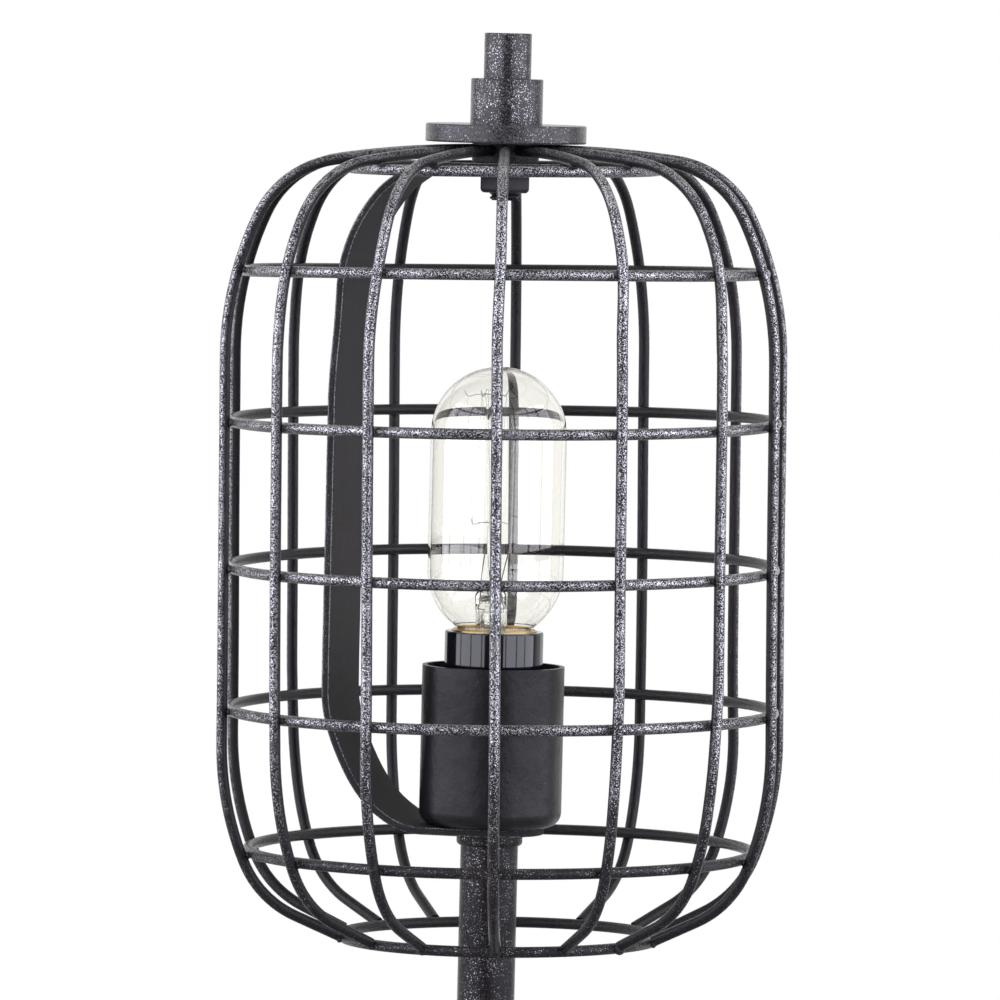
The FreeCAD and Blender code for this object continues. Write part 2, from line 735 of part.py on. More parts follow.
turned("bulb_stem", [
    ("0", "neck_bottom"),
    ("stem_foot_radius", "neck_bottom"),
    ("stem_foot_radius", "neck_bottom + stem_foot_height"),
    ("stem_radius", "neck_bottom + stem_foot_radius - stem_radius + stem_foot_height"),
    ("stem_radius", "stem_top"),
    ("stem_rod_radius", "stem_top"),
    ("stem_rod_radius", "stem_rod_top"),
    ("0", "stem_rod_top"),
])

HALF_TURN = 180
QUARTER_TURN = 90
EIGHTH_TURN = 45
first_direction = value("filament_turn")
lead_directions = [first_direction, first_direction + HALF_TURN]
low_hook_directions = [direction + QUARTER_TURN for direction in lead_directions]
high_hook_directions = [first_direction + EIGHTH_TURN + QUARTER_TURN * count for count in range(4)]

group("bulb_lead_wires", [
    wire_between(
        f"lead_wire_{number}",
        at_angle(value("lead_foot_offset"), direction, value("lead_foot")),
        at_angle(value("lead_reach"), direction, value("lead_top")),
        "lead_wire_radius",
    )
    for number, direction in enumerate(lead_directions, start=1)
])


def hook_wires(level, directions):
    """Straight support wires from the stem's rod to the filament, at one level."""
    return [
        wire_between(
            f"{level}_wire_{number}",
            at_angle(value("stem_rod_radius + weld_gap"), direction, value(level)),
            at_angle(value("hook_reach"), direction, value(level)),
            "hook_wire_radius",
        )
        for number, direction in enumerate(directions, start=1)
    ]


group("bulb_support_wires",
      hook_wires("upper_hooks", high_hook_directions) + hook_wires("lower_hooks", low_hook_directions))


def filament_half(half):
    """Half of the filament: from one lead up and down over three hooks to the other lead."""
    start = lead_directions[half]
    reach = value("filament_reach")
    lead_end = value("lead_top + weld_gap + filament_radius")
    corners = [
        at_angle(value("lead_reach"), start, lead_end),
        at_angle(reach, start + EIGHTH_TURN, value("upper_hooks")),
        at_angle(reach, start + QUARTER_TURN, value("lower_hooks")),
        at_angle(reach, start + QUARTER_TURN + EIGHTH_TURN, value("upper_hooks")),
        at_angle(value("lead_reach"), start + HALF_TURN, lead_end),
    ]
    wire_radius = value("filament_radius")
    solids = []
    for begin, end in zip(corners, corners[1:]):
        solids.append(Part.makeCylinder(wire_radius, begin.distanceToPoint(end), begin, end - begin))
    for corner in corners:
        solids.append(Part.makeSphere(wire_radius, corner))
    return solids


filament_solids = filament_half(0) + filament_half(1)
filament = doc.addObject("Part::Feature", "bulb_filament")
filament.Shape = filament_solids[0].multiFuse(filament_solids[1:])
keep(filament, "bulb_filament")

# Stud, washer and nut that stay on the strap when the cage is taken off

turned("finial_stud", [
    ("0", "stud_bottom"),
    ("rod_radius", "stud_bottom"),
    ("rod_radius", "strap_top"),
    ("shoulder_radius", "strap_top"),
    ("shoulder_radius", "shoulder_top"),
    ("rod_radius", "shoulder_top"),
    ("rod_radius", "stud_top"),
    ("0", "stud_top"),
])
turned("harp_washer", ring_corners("rod_hole", "washer_radius", "harp_nut_top", "strap_inside_top"))
hex_nut("harp_nut", "harp_nut_bottom", "nut_thickness")

# Cage: a hub, bent ribs welded to it, and rings welded inside the ribs

turned("cage_hub", [
    ("stud_bore", "shoulder_top + running_gap"),
    ("shoulder_radius + running_gap", "shoulder_top + running_gap"),
    ("shoulder_radius + running_gap", "strap_top"),
    ("hub_radius", "strap_top"),
    ("hub_radius", "hub_top"),
    ("stud_bore", "hub_top"),
])

RIB_PATH = [
    ("rib_start", "rib_start_height"),
    ("crown_end", "crown_end_height", "crown_bend", TURN_RIGHT),
    ("shoulder_end", "shoulder_end_height", "shoulder_bend", TURN_RIGHT),
    ("cage_radius", "side_start_height", "upper_side_bend", TURN_RIGHT),
    ("cage_radius", "side_end_height"),
    ("heel_start", "heel_start_height", "lower_side_bend", TURN_RIGHT),
    ("heel_end", "heel_end_height", "heel_bend", TURN_RIGHT),
    ("rib_end", "rib_end_height"),
]


def cage_rib(number):
    """One rib: round wire bent in a plane through the axis, from the hub to the bottom ring."""
    name = f"cage_rib_{number:02d}"
    body = doc.addObject("PartDesign::Body", name)
    path = new_sketch(body, f"{name}_path", "XZ_Plane")
    draw_path(path, RIB_PATH, closed=False)
    section = new_sketch(body, f"{name}_section", "YZ_Plane", "rib_start")
    draw_circle(section, "0", "rib_start_height", "wire_radius")
    doc.recompute()
    pipe = body.newObject("PartDesign::AdditivePipe", f"{name}_wire")
    pipe.Profile = section
    pipe.Spine = path
    body.setExpression("Placement.Rotation.Angle", bound(f"{number - 1} * 360 / rib_count"))
    return keep(body, name)


for number in range(1, int(value("rib_count")) + 1):
    cage_rib(number)


def rib_stretches():
    """The rib's path as (start point, end point, bend radius or None), with the bend's centre."""
    points = [FreeCAD.Vector(value(corner[0]), value(corner[1]), 0) for corner in RIB_PATH]
    for corner, start, end in zip(RIB_PATH[1:], points, points[1:]):
        if len(corner) == 4:
            yield start, end, arc_between(start, end, value(corner[2]), corner[3])


def ring_radius(height):
    """The radius of a ring that lies against the inside of the ribs at a height."""
    step_in = value("wire_diameter + weld_gap")
    for start, end, bend in rib_stretches():
        inner = bend.Radius - step_in
        share = inner / bend.Radius
        high = bend.Center.y + (start.y - bend.Center.y) * share
        low = bend.Center.y + (end.y - bend.Center.y) * share
        if low <= height <= high:
            return bend.Center.x + math.sqrt(inner**2 - (height - bend.Center.y) ** 2)
    return value("cage_radius") - step_in


def top_ring_height():
    """The height of a ring that lies under the ribs' crown at the top ring's radius."""
    step_in = value("wire_diameter + weld_gap")
    radius = value("top_ring_radius")
    for start, end, bend in rib_stretches():
        inner = bend.Radius - step_in
        share = inner / bend.Radius
        near = bend.Center.x + (start.x - bend.Center.x) * share
        far = bend.Center.x + (end.x - bend.Center.x) * share
        if near <= radius <= far:
            return bend.Center.y + math.sqrt(inner**2 - (radius - bend.Center.x) ** 2)
    raise ValueError("the top ring lies outside the ribs' crown")


def cage_ring(name, radius, height):
    """One ring of round wire; its radius and height are cells of their own."""
    for part_name, text in (("radius", radius), ("height", height)):
        RING_PLACES.append(f"{name}_{part_name}")
        fill_cell(places, len(PLACES) + len(RING_PLACES), f"{name}_{part_name}", text)
    doc.recompute()
    ring = doc.addObject("Part::Torus", name)
    ring.setExpression("Radius1", bound(f"{name}_radius"))
    ring.setExpression("Radius2", bound("wire_radius"))
    place_on_axis(ring, f"{name}_height")
    return keep(ring, name)


cage_ring("cage_ring_top", "=" + bound("top_ring_radius"), str(top_ring_height()))
for number in range(1, 6):
    ring_height = f"hub_top - ring_{number}_drop"
    cage_ring(f"cage_ring_{number}", str(ring_radius(value(ring_height))), "=" + bound(ring_height))
cage_ring("cage_ring_bottom", "=" + bound("bottom_ring_radius"), "=" + bound("bottom_ring_height"))

# Finial: a disc and a collar held captive on the sleeve of a knob that screws onto the stud

disc = turned("top_disc", [
    ("sleeve_bore", "lip_top + running_gap"),
    ("lip_radius + running_gap", "lip_top + running_gap"),
    ("lip_radius + running_gap", "hub_top"),
    ("disc_radius", "hub_top"),
    ("disc_radius", "disc_top"),
    ("sleeve_bore", "disc_top"),
])
round_edges(disc, "disc_edge", [("disc_radius", "disc_top"), ("disc_radius", "hub_top")])

finial_collar = turned("finial_collar", ring_corners(
    "sleeve_bore", "finial_collar_radius", "disc_top", "finial_collar_top"))
round_edges(finial_collar, "finial_edge", [("finial_collar_radius", "finial_collar_top")])

knob = turned("finial_knob", [
    ("stud_bore", "lip_bottom"),
    ("lip_radius", "lip_bottom"),
    ("lip_radius", "lip_top"),
    ("sleeve_radius", "lip_top"),
    ("sleeve_radius", "finial_collar_top"),
    ("knob_radius", "finial_collar_top"),
    ("knob_radius", "knob_top"),
    ("0", "knob_top"),
    ("0", "knob_top - knob_roof"),
    ("stud_bore", "knob_top - knob_roof"),
])
round_edges(knob, "finial_edge", [("knob_radius", "knob_top")])

# Tests of the model, then one file for each sub-part

doc.recompute()
for item in doc.Objects:
    if "Invalid" in item.State or "Error" in item.State:
        raise ValueError(f"{item.Label} failed: {item.State}")
for piece in sub_parts:
    if piece.Shape.isNull() or not piece.Shape.isValid():
        raise ValueError(f"{piece.Label} has no valid shape")

os.makedirs("parts", exist_ok=True)
for piece in sub_parts:
    piece.Shape.exportStep(f"parts/{piece.Label}.step")
    print(f"{piece.Label}: {len(piece.Shape.Solids)} solid, {piece.Shape.Volume:.1f} mm3")
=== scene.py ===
import math
import random

import bmesh
import bpy
from bl_math import smoothstep
from mathutils import Matrix, Vector, noise


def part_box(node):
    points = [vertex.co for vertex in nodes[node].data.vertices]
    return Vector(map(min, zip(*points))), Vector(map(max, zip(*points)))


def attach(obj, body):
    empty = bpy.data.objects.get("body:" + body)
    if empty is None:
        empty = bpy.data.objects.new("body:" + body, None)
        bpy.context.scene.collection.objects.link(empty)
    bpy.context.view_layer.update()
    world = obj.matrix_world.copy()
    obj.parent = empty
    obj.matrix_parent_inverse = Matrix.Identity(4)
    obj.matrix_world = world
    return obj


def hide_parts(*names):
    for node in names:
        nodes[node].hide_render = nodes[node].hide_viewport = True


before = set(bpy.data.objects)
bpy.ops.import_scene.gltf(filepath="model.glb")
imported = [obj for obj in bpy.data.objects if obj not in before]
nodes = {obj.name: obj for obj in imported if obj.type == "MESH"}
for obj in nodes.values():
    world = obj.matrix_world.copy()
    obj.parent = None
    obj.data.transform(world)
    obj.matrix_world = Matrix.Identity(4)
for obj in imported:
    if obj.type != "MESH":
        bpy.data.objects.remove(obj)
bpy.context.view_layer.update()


# Felt pad
# A disc of pressed black wool felt, die cut and glued under the cover so that the lamp doesn't scratch a
# table. Matted fibres make it dull all over, with a faint cloudy mottle.

FELT_DARK = "131314"
FELT_PALE = "262628"
FELT_FIBRE_MM = 0.5


def linear(colour):
    """Turns an sRGB hex colour into linear red, green, blue and alpha."""
    channels = [int(colour[place:place + 2], 16) / 255 for place in (0, 2, 4)]
    return [c / 12.92 if c <= 0.04045 else ((c + 0.055) / 1.055) ** 2.4 for c in channels] + [1.0]


def scale_for(size_mm):
    """The texture scale that makes a pattern's features about size_mm across."""
    return 1000 / size_mm


def new_material(name):
    """An empty material with a node tree."""
    material = bpy.data.materials.new(name)
    material.use_nodes = True
    material.node_tree.nodes.clear()
    return material


def add_node(owner, kind, settings=None, links=None):
    """Adds a shader node, sets its properties and inputs, and links other nodes' outputs to its inputs."""
    node = owner.node_tree.nodes.new("ShaderNode" + kind)
    for name, setting in (settings or {}).items():
        if isinstance(name, str) and hasattr(node, name):
            setattr(node, name, setting)
        else:
            node.inputs[name].default_value = setting
    for name, output in (links or {}).items():
        owner.node_tree.links.new(output, node.inputs[name])
    return node


def mottle(material, patch_mm, dark, pale, detail=2.0, raggedness=0.5):
    """Cloudy patches, about patch_mm across, that blend two shades; gives back the pattern and the colour."""
    place = add_node(material, "TexCoord")
    patch = add_node(material, "TexNoise",
                     {"Scale": scale_for(patch_mm), "Detail": detail, "Roughness": raggedness},
                     {"Vector": place.outputs["Object"]})
    colour = add_node(material, "Mix", {"data_type": "RGBA", 6: linear(dark), 7: linear(pale)},
                      {0: patch.outputs["Fac"]})
    return patch.outputs["Fac"], colour.outputs[2]


def mottled(name, patch_mm, dark, pale, looks, detail=2.0, raggedness=0.5, relief=None, gloss=None):
    """A material of two shades in cloudy patches, with looks as the settings of its shader.

    relief is how strongly and how far, in metres, the pale patches stand out. gloss is the roughness of the
    dark and of the pale patches, where they differ.
    """
    material = new_material(name)
    pattern, colour = mottle(material, patch_mm, dark, pale, detail, raggedness)
    links = {"Base Color": colour}
    if relief:
        raised = add_node(material, "Bump", {"Strength": relief[0], "Distance": relief[1]},
                          {"Height": pattern})
        links["Normal"] = raised.outputs["Normal"]
    if gloss:
        shine = add_node(material, "MapRange", {"To Min": gloss[0], "To Max": gloss[1]}, {"Value": pattern})
        links["Roughness"] = shine.outputs["Result"]
    shader = add_node(material, "BsdfPrincipled", looks, links)
    add_node(material, "OutputMaterial", links={"Surface": shader.outputs["BSDF"]})
    return material


def dress(material, *names):
    """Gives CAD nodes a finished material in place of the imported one."""
    for name in names:
        nodes[name].data.materials.clear()
        nodes[name].data.materials.append(material)


# Pressed wool felt: a dull black with a soft mottle and a short nap that catches light at the edges.
felt = mottled("pressed_wool_felt", FELT_FIBRE_MM, FELT_DARK, FELT_PALE, detail=4.0, raggedness=0.7,
               relief=(0.5, 0.0003), looks={"Roughness": 1.0, "Sheen Weight": 0.4, "IOR": 1.45})
dress(felt, "base_pad")


# Weight, nut, washer and rod
# A sand-cast iron slug fills the cover and keeps the lamp from tipping. A hollow M10 rod with rolled threads
# runs up the pole and is clamped under the slug by a zinc-plated washer and nut.

IRON_DARK = "2e2c2a"
IRON_PALE = "4d4946"
SAND_GRAIN_MM = 1.2
ZINC_DULL = "9fa2a6"
ZINC_BRIGHT = "c9ccd0"
ZINC_PATCH_MM = 3.0

# Raw cast iron: dark grey, dull and pitted with the print of the moulding sand.
iron = mottled("sand_cast_iron", SAND_GRAIN_MM, IRON_DARK, IRON_PALE, detail=5.0, raggedness=0.6,
               relief=(0.6, 0.0004), looks={"Roughness": 0.75, "Metallic": 0.7})
# Bright zinc plating on steel: a cool silver with cloudy patches where the plating is thinner.
zinc = mottled("zinc_plated_steel", ZINC_PATCH_MM, ZINC_DULL, ZINC_BRIGHT, detail=3.0, gloss=(0.42, 0.28),
               looks={"Metallic": 1.0})
dress(iron, "base_weight")
dress(zinc, "base_washer", "base_hex_nut", "threaded_rod", "socket_lock_nut")


# Cover, flange, foot collar, pole and neck ring
# The cover is spun from sheet steel over the weight, the flange and collar are turned, and the pole is plain
# welded tube. All get the lamp's finish: black lacquer, dry-brushed with silver that stays only as specks.

MM = 0.001
LACQUER_COOL = "17151b"
LACQUER_WARM = "201a19"
SILVER = "c6c6c9"
SILVER_DULLNESS = 0.26
GRAIN_MM = 0.46
LUMP_MM = 2.4
PATCH_MM = 8.0
PATCH_UNEVEN = 0.035
TOUCH_EDGE = 0.04
# The upward tilt of the brush's direction; faces turned below it get no silver, which paints shade on the
# undersides.
BRUSH_AND_SHADE_LIFT = 0.3
# Heights over which fewer grains turn silver towards the foot of the cage, and by how much: painted shade.
FOOT_HEIGHTS = (275 * MM, 330 * MM)
FOOT_PAINTED_SHADE = 0.11


def brushed_lacquer(name, veil, touched_above, dullness, ior, height, brushed_outside_and_shaded=False):
    """Grainy black lacquer dry-brushed with silver: dark in front, sparkling where it turns to the lights.

    The brush left a veil of silver on the grains and a full touch on those higher than touched_above, on a
    scale from 0 to 1; height is how far the grains stand out, on the same scale. dullness is the roughness of
    the bare lacquer, and a lower ior makes it mirror less. Where the brush is set to come from outside, faces
    that look in or down stay plain, which is partly the brush's reach and partly painted shade on the inner
    and lower faces, and towards the foot of the cage fewer grains are silver, which is painted shade.
    Where a piece carries the corner attribute, its corners are painted bright: rubbed wear and a painted
    highlight along the edges.
    """
    material = new_material(name)
    patch, lacquer = mottle(material, PATCH_MM, LACQUER_COOL, LACQUER_WARM)
    place = add_node(material, "TexCoord")
    grain = add_node(material, "TexNoise", {"Scale": scale_for(GRAIN_MM), "Detail": 3.0, "Roughness": 0.65},
                     {"Vector": place.outputs["Object"]})
    uneven = add_node(material, "MapRange", {"From Min": 0.3, "From Max": 0.7, "To Min": -PATCH_UNEVEN,
                                             "To Max": PATCH_UNEVEN}, {"Value": patch})
    level = add_node(material, "Math", {"operation": "ADD"},
                     {0: grain.outputs["Fac"], 1: uneven.outputs["Result"]})
    # Towards the foot of the cage fewer grains turn silver: painted shade.
    if brushed_outside_and_shaded:
        height_here = add_node(material, "SeparateXYZ", links={0: place.outputs["Object"]})
        foot_shade = add_node(material, "MapRange", {"From Min": FOOT_HEIGHTS[0], "From Max": FOOT_HEIGHTS[1],
                                                 "To Min": -FOOT_PAINTED_SHADE, "To Max": 0.0},
                          {"Value": height_here.outputs["Z"]})
        level = add_node(material, "Math", {"operation": "ADD"},
                         {0: level.outputs["Value"], 1: foot_shade.outputs["Result"]})
    wiped = add_node(material, "MapRange", {"From Min": 0.4, "From Max": 0.62, "To Max": veil},
                     {"Value": level.outputs["Value"]})
    touched = add_node(material, "MapRange",
                       {"From Min": touched_above, "From Max": touched_above + TOUCH_EDGE},
                       {"Value": level.outputs["Value"]})
    silver = add_node(material, "Math", {"operation": "MAXIMUM"},
                      {0: wiped.outputs["Result"], 1: touched.outputs["Result"]})
    # Faces that look in or down get no silver: the brush's reach, and painted shade on the inner and lower
    # faces.
    if brushed_outside_and_shaded:
        surface = add_node(material, "NewGeometry")
        flat = add_node(material, "VectorMath", {"operation": "MULTIPLY", 1: (1, 1, 0)},
                        {0: place.outputs["Object"]})
        outward = add_node(material, "VectorMath", {"operation": "NORMALIZE"}, {0: flat.outputs["Vector"]})
        lifted = add_node(material, "VectorMath", {"operation": "ADD", 1: (0, 0, BRUSH_AND_SHADE_LIFT)},
                          {0: outward.outputs["Vector"]})
        brush_and_light_facing = add_node(material, "VectorMath", {"operation": "DOT_PRODUCT"},
                       {0: lifted.outputs["Vector"], 1: surface.outputs["Normal"]})
        brushed_and_lit = add_node(material, "MapRange", {"From Min": 0.0, "From Max": 0.7},
                           {"Value": brush_and_light_facing.outputs["Value"]})
        silver = add_node(material, "Math", {"operation": "MULTIPLY"},
                          {0: silver.outputs["Value"], 1: brushed_and_lit.outputs["Result"]})
    # Corners marked by the piece's attribute are painted bright: rubbed wear, and a painted highlight along
    # the filed edges.
    wear_and_highlight = add_node(material, "Attribute", {"attribute_name": "wear_and_highlight"})
    rubbed_and_highlit = add_node(material, "MapRange", {"From Min": 0.4, "From Max": 0.56},
                      {"Value": level.outputs["Value"]})
    worn_and_highlit = add_node(material, "Math", {"operation": "MULTIPLY"},
                    {0: wear_and_highlight.outputs["Fac"], 1: rubbed_and_highlit.outputs["Result"]})
    shown = add_node(material, "Math", {"operation": "MAXIMUM"},
                     {0: silver.outputs["Value"], 1: worn_and_highlit.outputs["Value"]})
    amount = shown.outputs["Value"]
    colour = add_node(material, "Mix", {"data_type": "RGBA", 7: linear(SILVER)}, {0: amount, 6: lacquer})
    gloss = add_node(material, "MapRange", {"To Min": dullness, "To Max": SILVER_DULLNESS}, {"Value": amount})
    lump = add_node(material, "TexNoise", {"Scale": scale_for(LUMP_MM), "Detail": 1.0},
                    {"Vector": place.outputs["Object"]})
    lumps = add_node(material, "Bump", {"Strength": 0.3, "Distance": 0.0006}, {"Height": lump.outputs["Fac"]})
    relief = add_node(material, "Bump", {"Strength": height, "Distance": 0.0003},
                      {"Height": grain.outputs["Fac"], "Normal": lumps.outputs["Normal"]})
    shader = add_node(material, "BsdfPrincipled", {"IOR": ior},
                      {"Base Color": colour.outputs[2], "Metallic": amount,
                       "Roughness": gloss.outputs["Result"], "Normal": relief.outputs["Normal"]})
    add_node(material, "OutputMaterial", links={"Surface": shader.outputs["BSDF"]})
    return material


turned_lacquer = brushed_lacquer("dry_brushed_lacquer", veil=0.07, touched_above=0.59, dullness=0.22,
                                 ior=1.45, height=0.25)
# The pole's copy of the finish has no veil and fewer specks, so it reads darker: painted shade on the pole.
shaded_pole_lacquer = brushed_lacquer("dry_brushed_tube_painted_shade", veil=0.0, touched_above=0.62, dullness=0.3, ior=1.3,
                               height=0.3)
dress(turned_lacquer, "base_shell", "base_flange", "pole_foot_collar")
dress(shaded_pole_lacquer, "pole_tube", "pole_neck_ring")


# Grommet
# A moulded rubber bush, pressed into the hole at the back of the cover, where a cord goes in.
# Rubber is a dull black with a fine moulded grain.

RUBBER_DARK = "161616"
RUBBER_PALE = "242423"
RUBBER_GRAIN_MM = 0.4

# Moulded rubber: black, dull, with a bloom that makes it a little uneven.
rubber = mottled("moulded_rubber", RUBBER_GRAIN_MM, RUBBER_DARK, RUBBER_PALE, relief=(0.2, 0.0001),
                 looks={"Roughness": 0.7, "IOR": 1.52})
dress(rubber, "cord_grommet")


# Strap
# A flat steel bar, bent to a C with two bends at each end and a round, drilled tab at both, stands beside
# the bulb and carries the cage. Its edges are broken with a file, and it is finished like the cage.

STRAP_THICKNESS = 2.5 * MM
STRAP_HOLE_RADIUS = 5.2 * MM
STRAP_BEND_START = 18.6 * MM
STRAP_TIGHT_BEND = 30 * MM
STRAP_TIGHT_TURN = math.radians(50)
STRAP_CORNER = math.radians(60)
STRAP_EDGE = 0.5 * MM
STRAP_TOP_IN = 2 * MM
STRAP_TOP_SPRUNG = (425 * MM, 460 * MM)
STRAP_FOOT_IN = 2 * MM
STRAP_FOOT_SPRUNG = (302 * MM, 330 * MM)
TAB_STEPS = 20
BEND_STEPS = 12
SEAM = 0.001 * MM
SMOOTH_UP_TO = math.radians(40)


def as_object(work, name, material):
    """Makes a bmesh an object of the scene, in one material."""
    mesh = bpy.data.meshes.new(name)
    work.to_mesh(mesh)
    work.free()
    mesh.materials.append(material)
    shape = bpy.data.objects.new(name, mesh)
    bpy.context.scene.collection.objects.link(shape)
    return shape


def add_piece(work, name, material, body, slot, *replaced):
    """Makes a bmesh a smooth piece that moves with a body and stands for the named CAD nodes."""
    piece = as_object(work, name, material)
    piece.data.shade_smooth()
    piece.data.set_sharp_from_angle(angle=SMOOTH_UP_TO)
    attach(piece, body)
    if replaced:
        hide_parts(*replaced)


def chain(work, points):
    """An open row of edges through points; gives back its vertices and edges."""
    vertices = [work.verts.new(point) for point in points]
    return vertices + [work.edges.new(pair) for pair in zip(vertices, vertices[1:])]


def full_turn(work, drawn, steps):
    """Spins a shape once round the axis and joins its ends."""
    bmesh.ops.spin(work, geom=drawn, cent=(0, 0, 0), axis=(0, 0, 1), dvec=(0, 0, 0), angle=math.tau,
                   steps=steps, use_merge=True)


def follow(work, section, place, heading, moves):
    """Draws a section along runs and bends in the XZ plane; gives back its last edges and the bends' centres.

    A move is a length with no turn, or a bend radius with a turn to the right of the heading.
    """
    centres = []
    for size, turn in moves:
        if turn is None:
            drawn = bmesh.ops.spin(work, geom=section, cent=place, axis=(0, 1, 0), angle=0, steps=BEND_STEPS,
                                   dvec=heading * size / BEND_STEPS, use_merge=False)
            place = place + heading * size
        else:
            bend = Matrix.Rotation(turn, 3, "Y")
            centre = place + Matrix.Rotation(math.pi / 2, 3, "Y") @ heading * size
            drawn = bmesh.ops.spin(work, geom=section, cent=centre, axis=(0, 1, 0), angle=turn,
                                   dvec=(0, 0, 0), steps=BEND_STEPS, use_merge=False)
            place = centre + bend @ (place - centre)
            heading = bend @ heading
            centres.append(centre)
        section = drawn["geom_last"]
    return [part for part in section if isinstance(part, bmesh.types.BMEdge)], centres


def drilled_tab(work, height, half_width):
    """A flat washer-shaped tab on the axis; gives back the half of its rim that meets the bar."""
    spoke = chain(work, [(0, half_width, height), (0, STRAP_HOLE_RADIUS, height)])
    before = set(work.edges)
    full_turn(work, spoke, 2 * TAB_STEPS)
    new = [edge for edge in work.edges if edge not in before or edge in spoke]
    return [edge for edge in new if edge.is_boundary and sum(vertex.co.x for vertex in edge.verts) < -SEAM
            and all(vertex.co.xy.length > half_width - SEAM for vertex in edge.verts)]


def bent_strap():
    """The C-shaped bar: a sheet bent as its outer face, joined to both tabs and sprung in at both ends."""
    low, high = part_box("harp_strap")
    half_width = high.y
    sine = math.sin(STRAP_TIGHT_TURN)
    wide_bend = (-low.x - STRAP_BEND_START - STRAP_TIGHT_BEND * sine) / (1 - sine)
    rise = STRAP_TIGHT_BEND * (1 - math.cos(STRAP_TIGHT_TURN)) + wide_bend * math.cos(STRAP_TIGHT_TURN)
    half_bends = [(STRAP_TIGHT_BEND, STRAP_TIGHT_TURN), (wide_bend, math.pi / 2 - STRAP_TIGHT_TURN)]
    upright = [(high.z - low.z - 2 * rise, None)]
    moves = half_bends + upright + half_bends[::-1]
    work = bmesh.new()
    spread = [half_width * math.cos(math.pi * step / TAB_STEPS) for step in range(TAB_STEPS + 1)]
    first = chain(work, [(-STRAP_BEND_START, across, low.z) for across in spread])
    first_edges = first[TAB_STEPS + 1:]
    last_edges = follow(work, first, Vector((-STRAP_BEND_START, 0, low.z)), Vector((-1, 0, 0)), moves)[0]
    for height, bar_end in ((low.z, first_edges), (high.z, last_edges)):
        rim = drilled_tab(work, height, half_width)
        bmesh.ops.bridge_loops(work, edges=rim + bar_end)
    bmesh.ops.remove_doubles(work, verts=work.verts, dist=SEAM)
    bmesh.ops.recalc_face_normals(work, faces=work.faces)
    for vertex in work.verts:
        beside_tab = smoothstep(STRAP_BEND_START, 2 * STRAP_BEND_START, -vertex.co.x)
        sprung = STRAP_TOP_IN * smoothstep(*STRAP_TOP_SPRUNG, vertex.co.z)
        sprung += STRAP_FOOT_IN * (1 - smoothstep(*STRAP_FOOT_SPRUNG, vertex.co.z))
        vertex.co.x += beside_tab * sprung
    return work


strap_work = bent_strap()
wear_and_highlight_layer = strap_work.verts.layers.float.new("wear_and_highlight")
# The sheet has to look outwards before it gets its thickness, which grows inwards.
lowest = min(strap_work.faces, key=lambda face: face.calc_center_median().z)
if lowest.normal.z > 0:
    bmesh.ops.reverse_faces(strap_work, faces=strap_work.faces)
bmesh.ops.solidify(strap_work, geom=strap_work.faces, thickness=STRAP_THICKNESS)
bmesh.ops.recalc_face_normals(strap_work, faces=strap_work.faces)
corners = [edge for edge in strap_work.edges if edge.is_manifold and edge.calc_face_angle() > STRAP_CORNER]
rounded = bmesh.ops.bevel(strap_work, geom=corners, offset=STRAP_EDGE, segments=2, profile=0.5,
                          affect="EDGES", material=-1)
# The middle of each rounded corner is marked, so that the lacquer paints a bright line there: rubbed wear and
# a painted highlight.
corner_faces = set(rounded["faces"])
for vertex in rounded["verts"]:
    if corner_faces.issuperset(vertex.link_faces):
        vertex[wear_and_highlight_layer] = 1
bar_lacquer = brushed_lacquer("dry_brushed_bar", veil=0.04, touched_above=0.62, dullness=0.8, ior=1.45,
                              height=0.5, brushed_outside_and_shaded=True)
add_piece(strap_work, "strap_bar", bar_lacquer, "stand", "charcoal_paint", "harp_strap")


# Cup
# A deep-drawn steel cup hides the lamp holder. It is sprayed with the same black, but matt, and has only a
# few pale specks: dust that has stuck to it, and painted glints.

CUP_DARK = "0b090b"
CUP_PALE = "1c191c"
# Colour and size of the pale specks: dust and painted glints.
CUP_DUST_AND_GLINT = "77787f"
CUP_DUST_AND_GLINT_MM = 0.8
CUP_CLOUD_MM = 12.0


def dusted_and_glinting_paint():
    """Matt black spray paint: an even charcoal, soft grey beside the lights, with a few pale specks of dust
    and painted glints.
    """
    material = new_material("matt_sprayed_paint")
    cloud, colour = mottle(material, CUP_CLOUD_MM, CUP_DARK, CUP_PALE, detail=4.0)
    place = add_node(material, "TexCoord")
    grain = add_node(material, "TexNoise", {"Scale": scale_for(CUP_DUST_AND_GLINT_MM), "Detail": 3.0, "Roughness": 0.6},
                     {"Vector": place.outputs["Object"]})
    # Pale specks: dust, and painted glints.
    dust_and_glints = add_node(material, "MapRange", {"From Min": 0.7, "From Max": 0.78},
                    {"Value": grain.outputs["Fac"]})
    dusted_and_glinting = add_node(material, "Mix", {"data_type": "RGBA", 7: linear(CUP_DUST_AND_GLINT)},
                      {0: dust_and_glints.outputs["Result"], 6: colour})
    dents = add_node(material, "Bump", {"Strength": 0.35, "Distance": 0.002}, {"Height": cloud})
    relief = add_node(material, "Bump", {"Strength": 0.35, "Distance": 0.0002},
                      {"Height": grain.outputs["Fac"], "Normal": dents.outputs["Normal"]})
    shader = add_node(material, "BsdfPrincipled", {"Roughness": 0.36, "IOR": 1.4},
                      {"Base Color": dusted_and_glinting.outputs[2], "Normal": relief.outputs["Normal"]})
    add_node(material, "OutputMaterial", links={"Surface": shader.outputs["BSDF"]})
    return material


dress(dusted_and_glinting_paint(), "socket_cup")


# Lamp holder
# A black phenolic sleeve and cap, pressed in a polished mould, hold a brass screw shell, a brass spring
# contact and two terminal screws. The gloss of the mould stays on the sleeve.

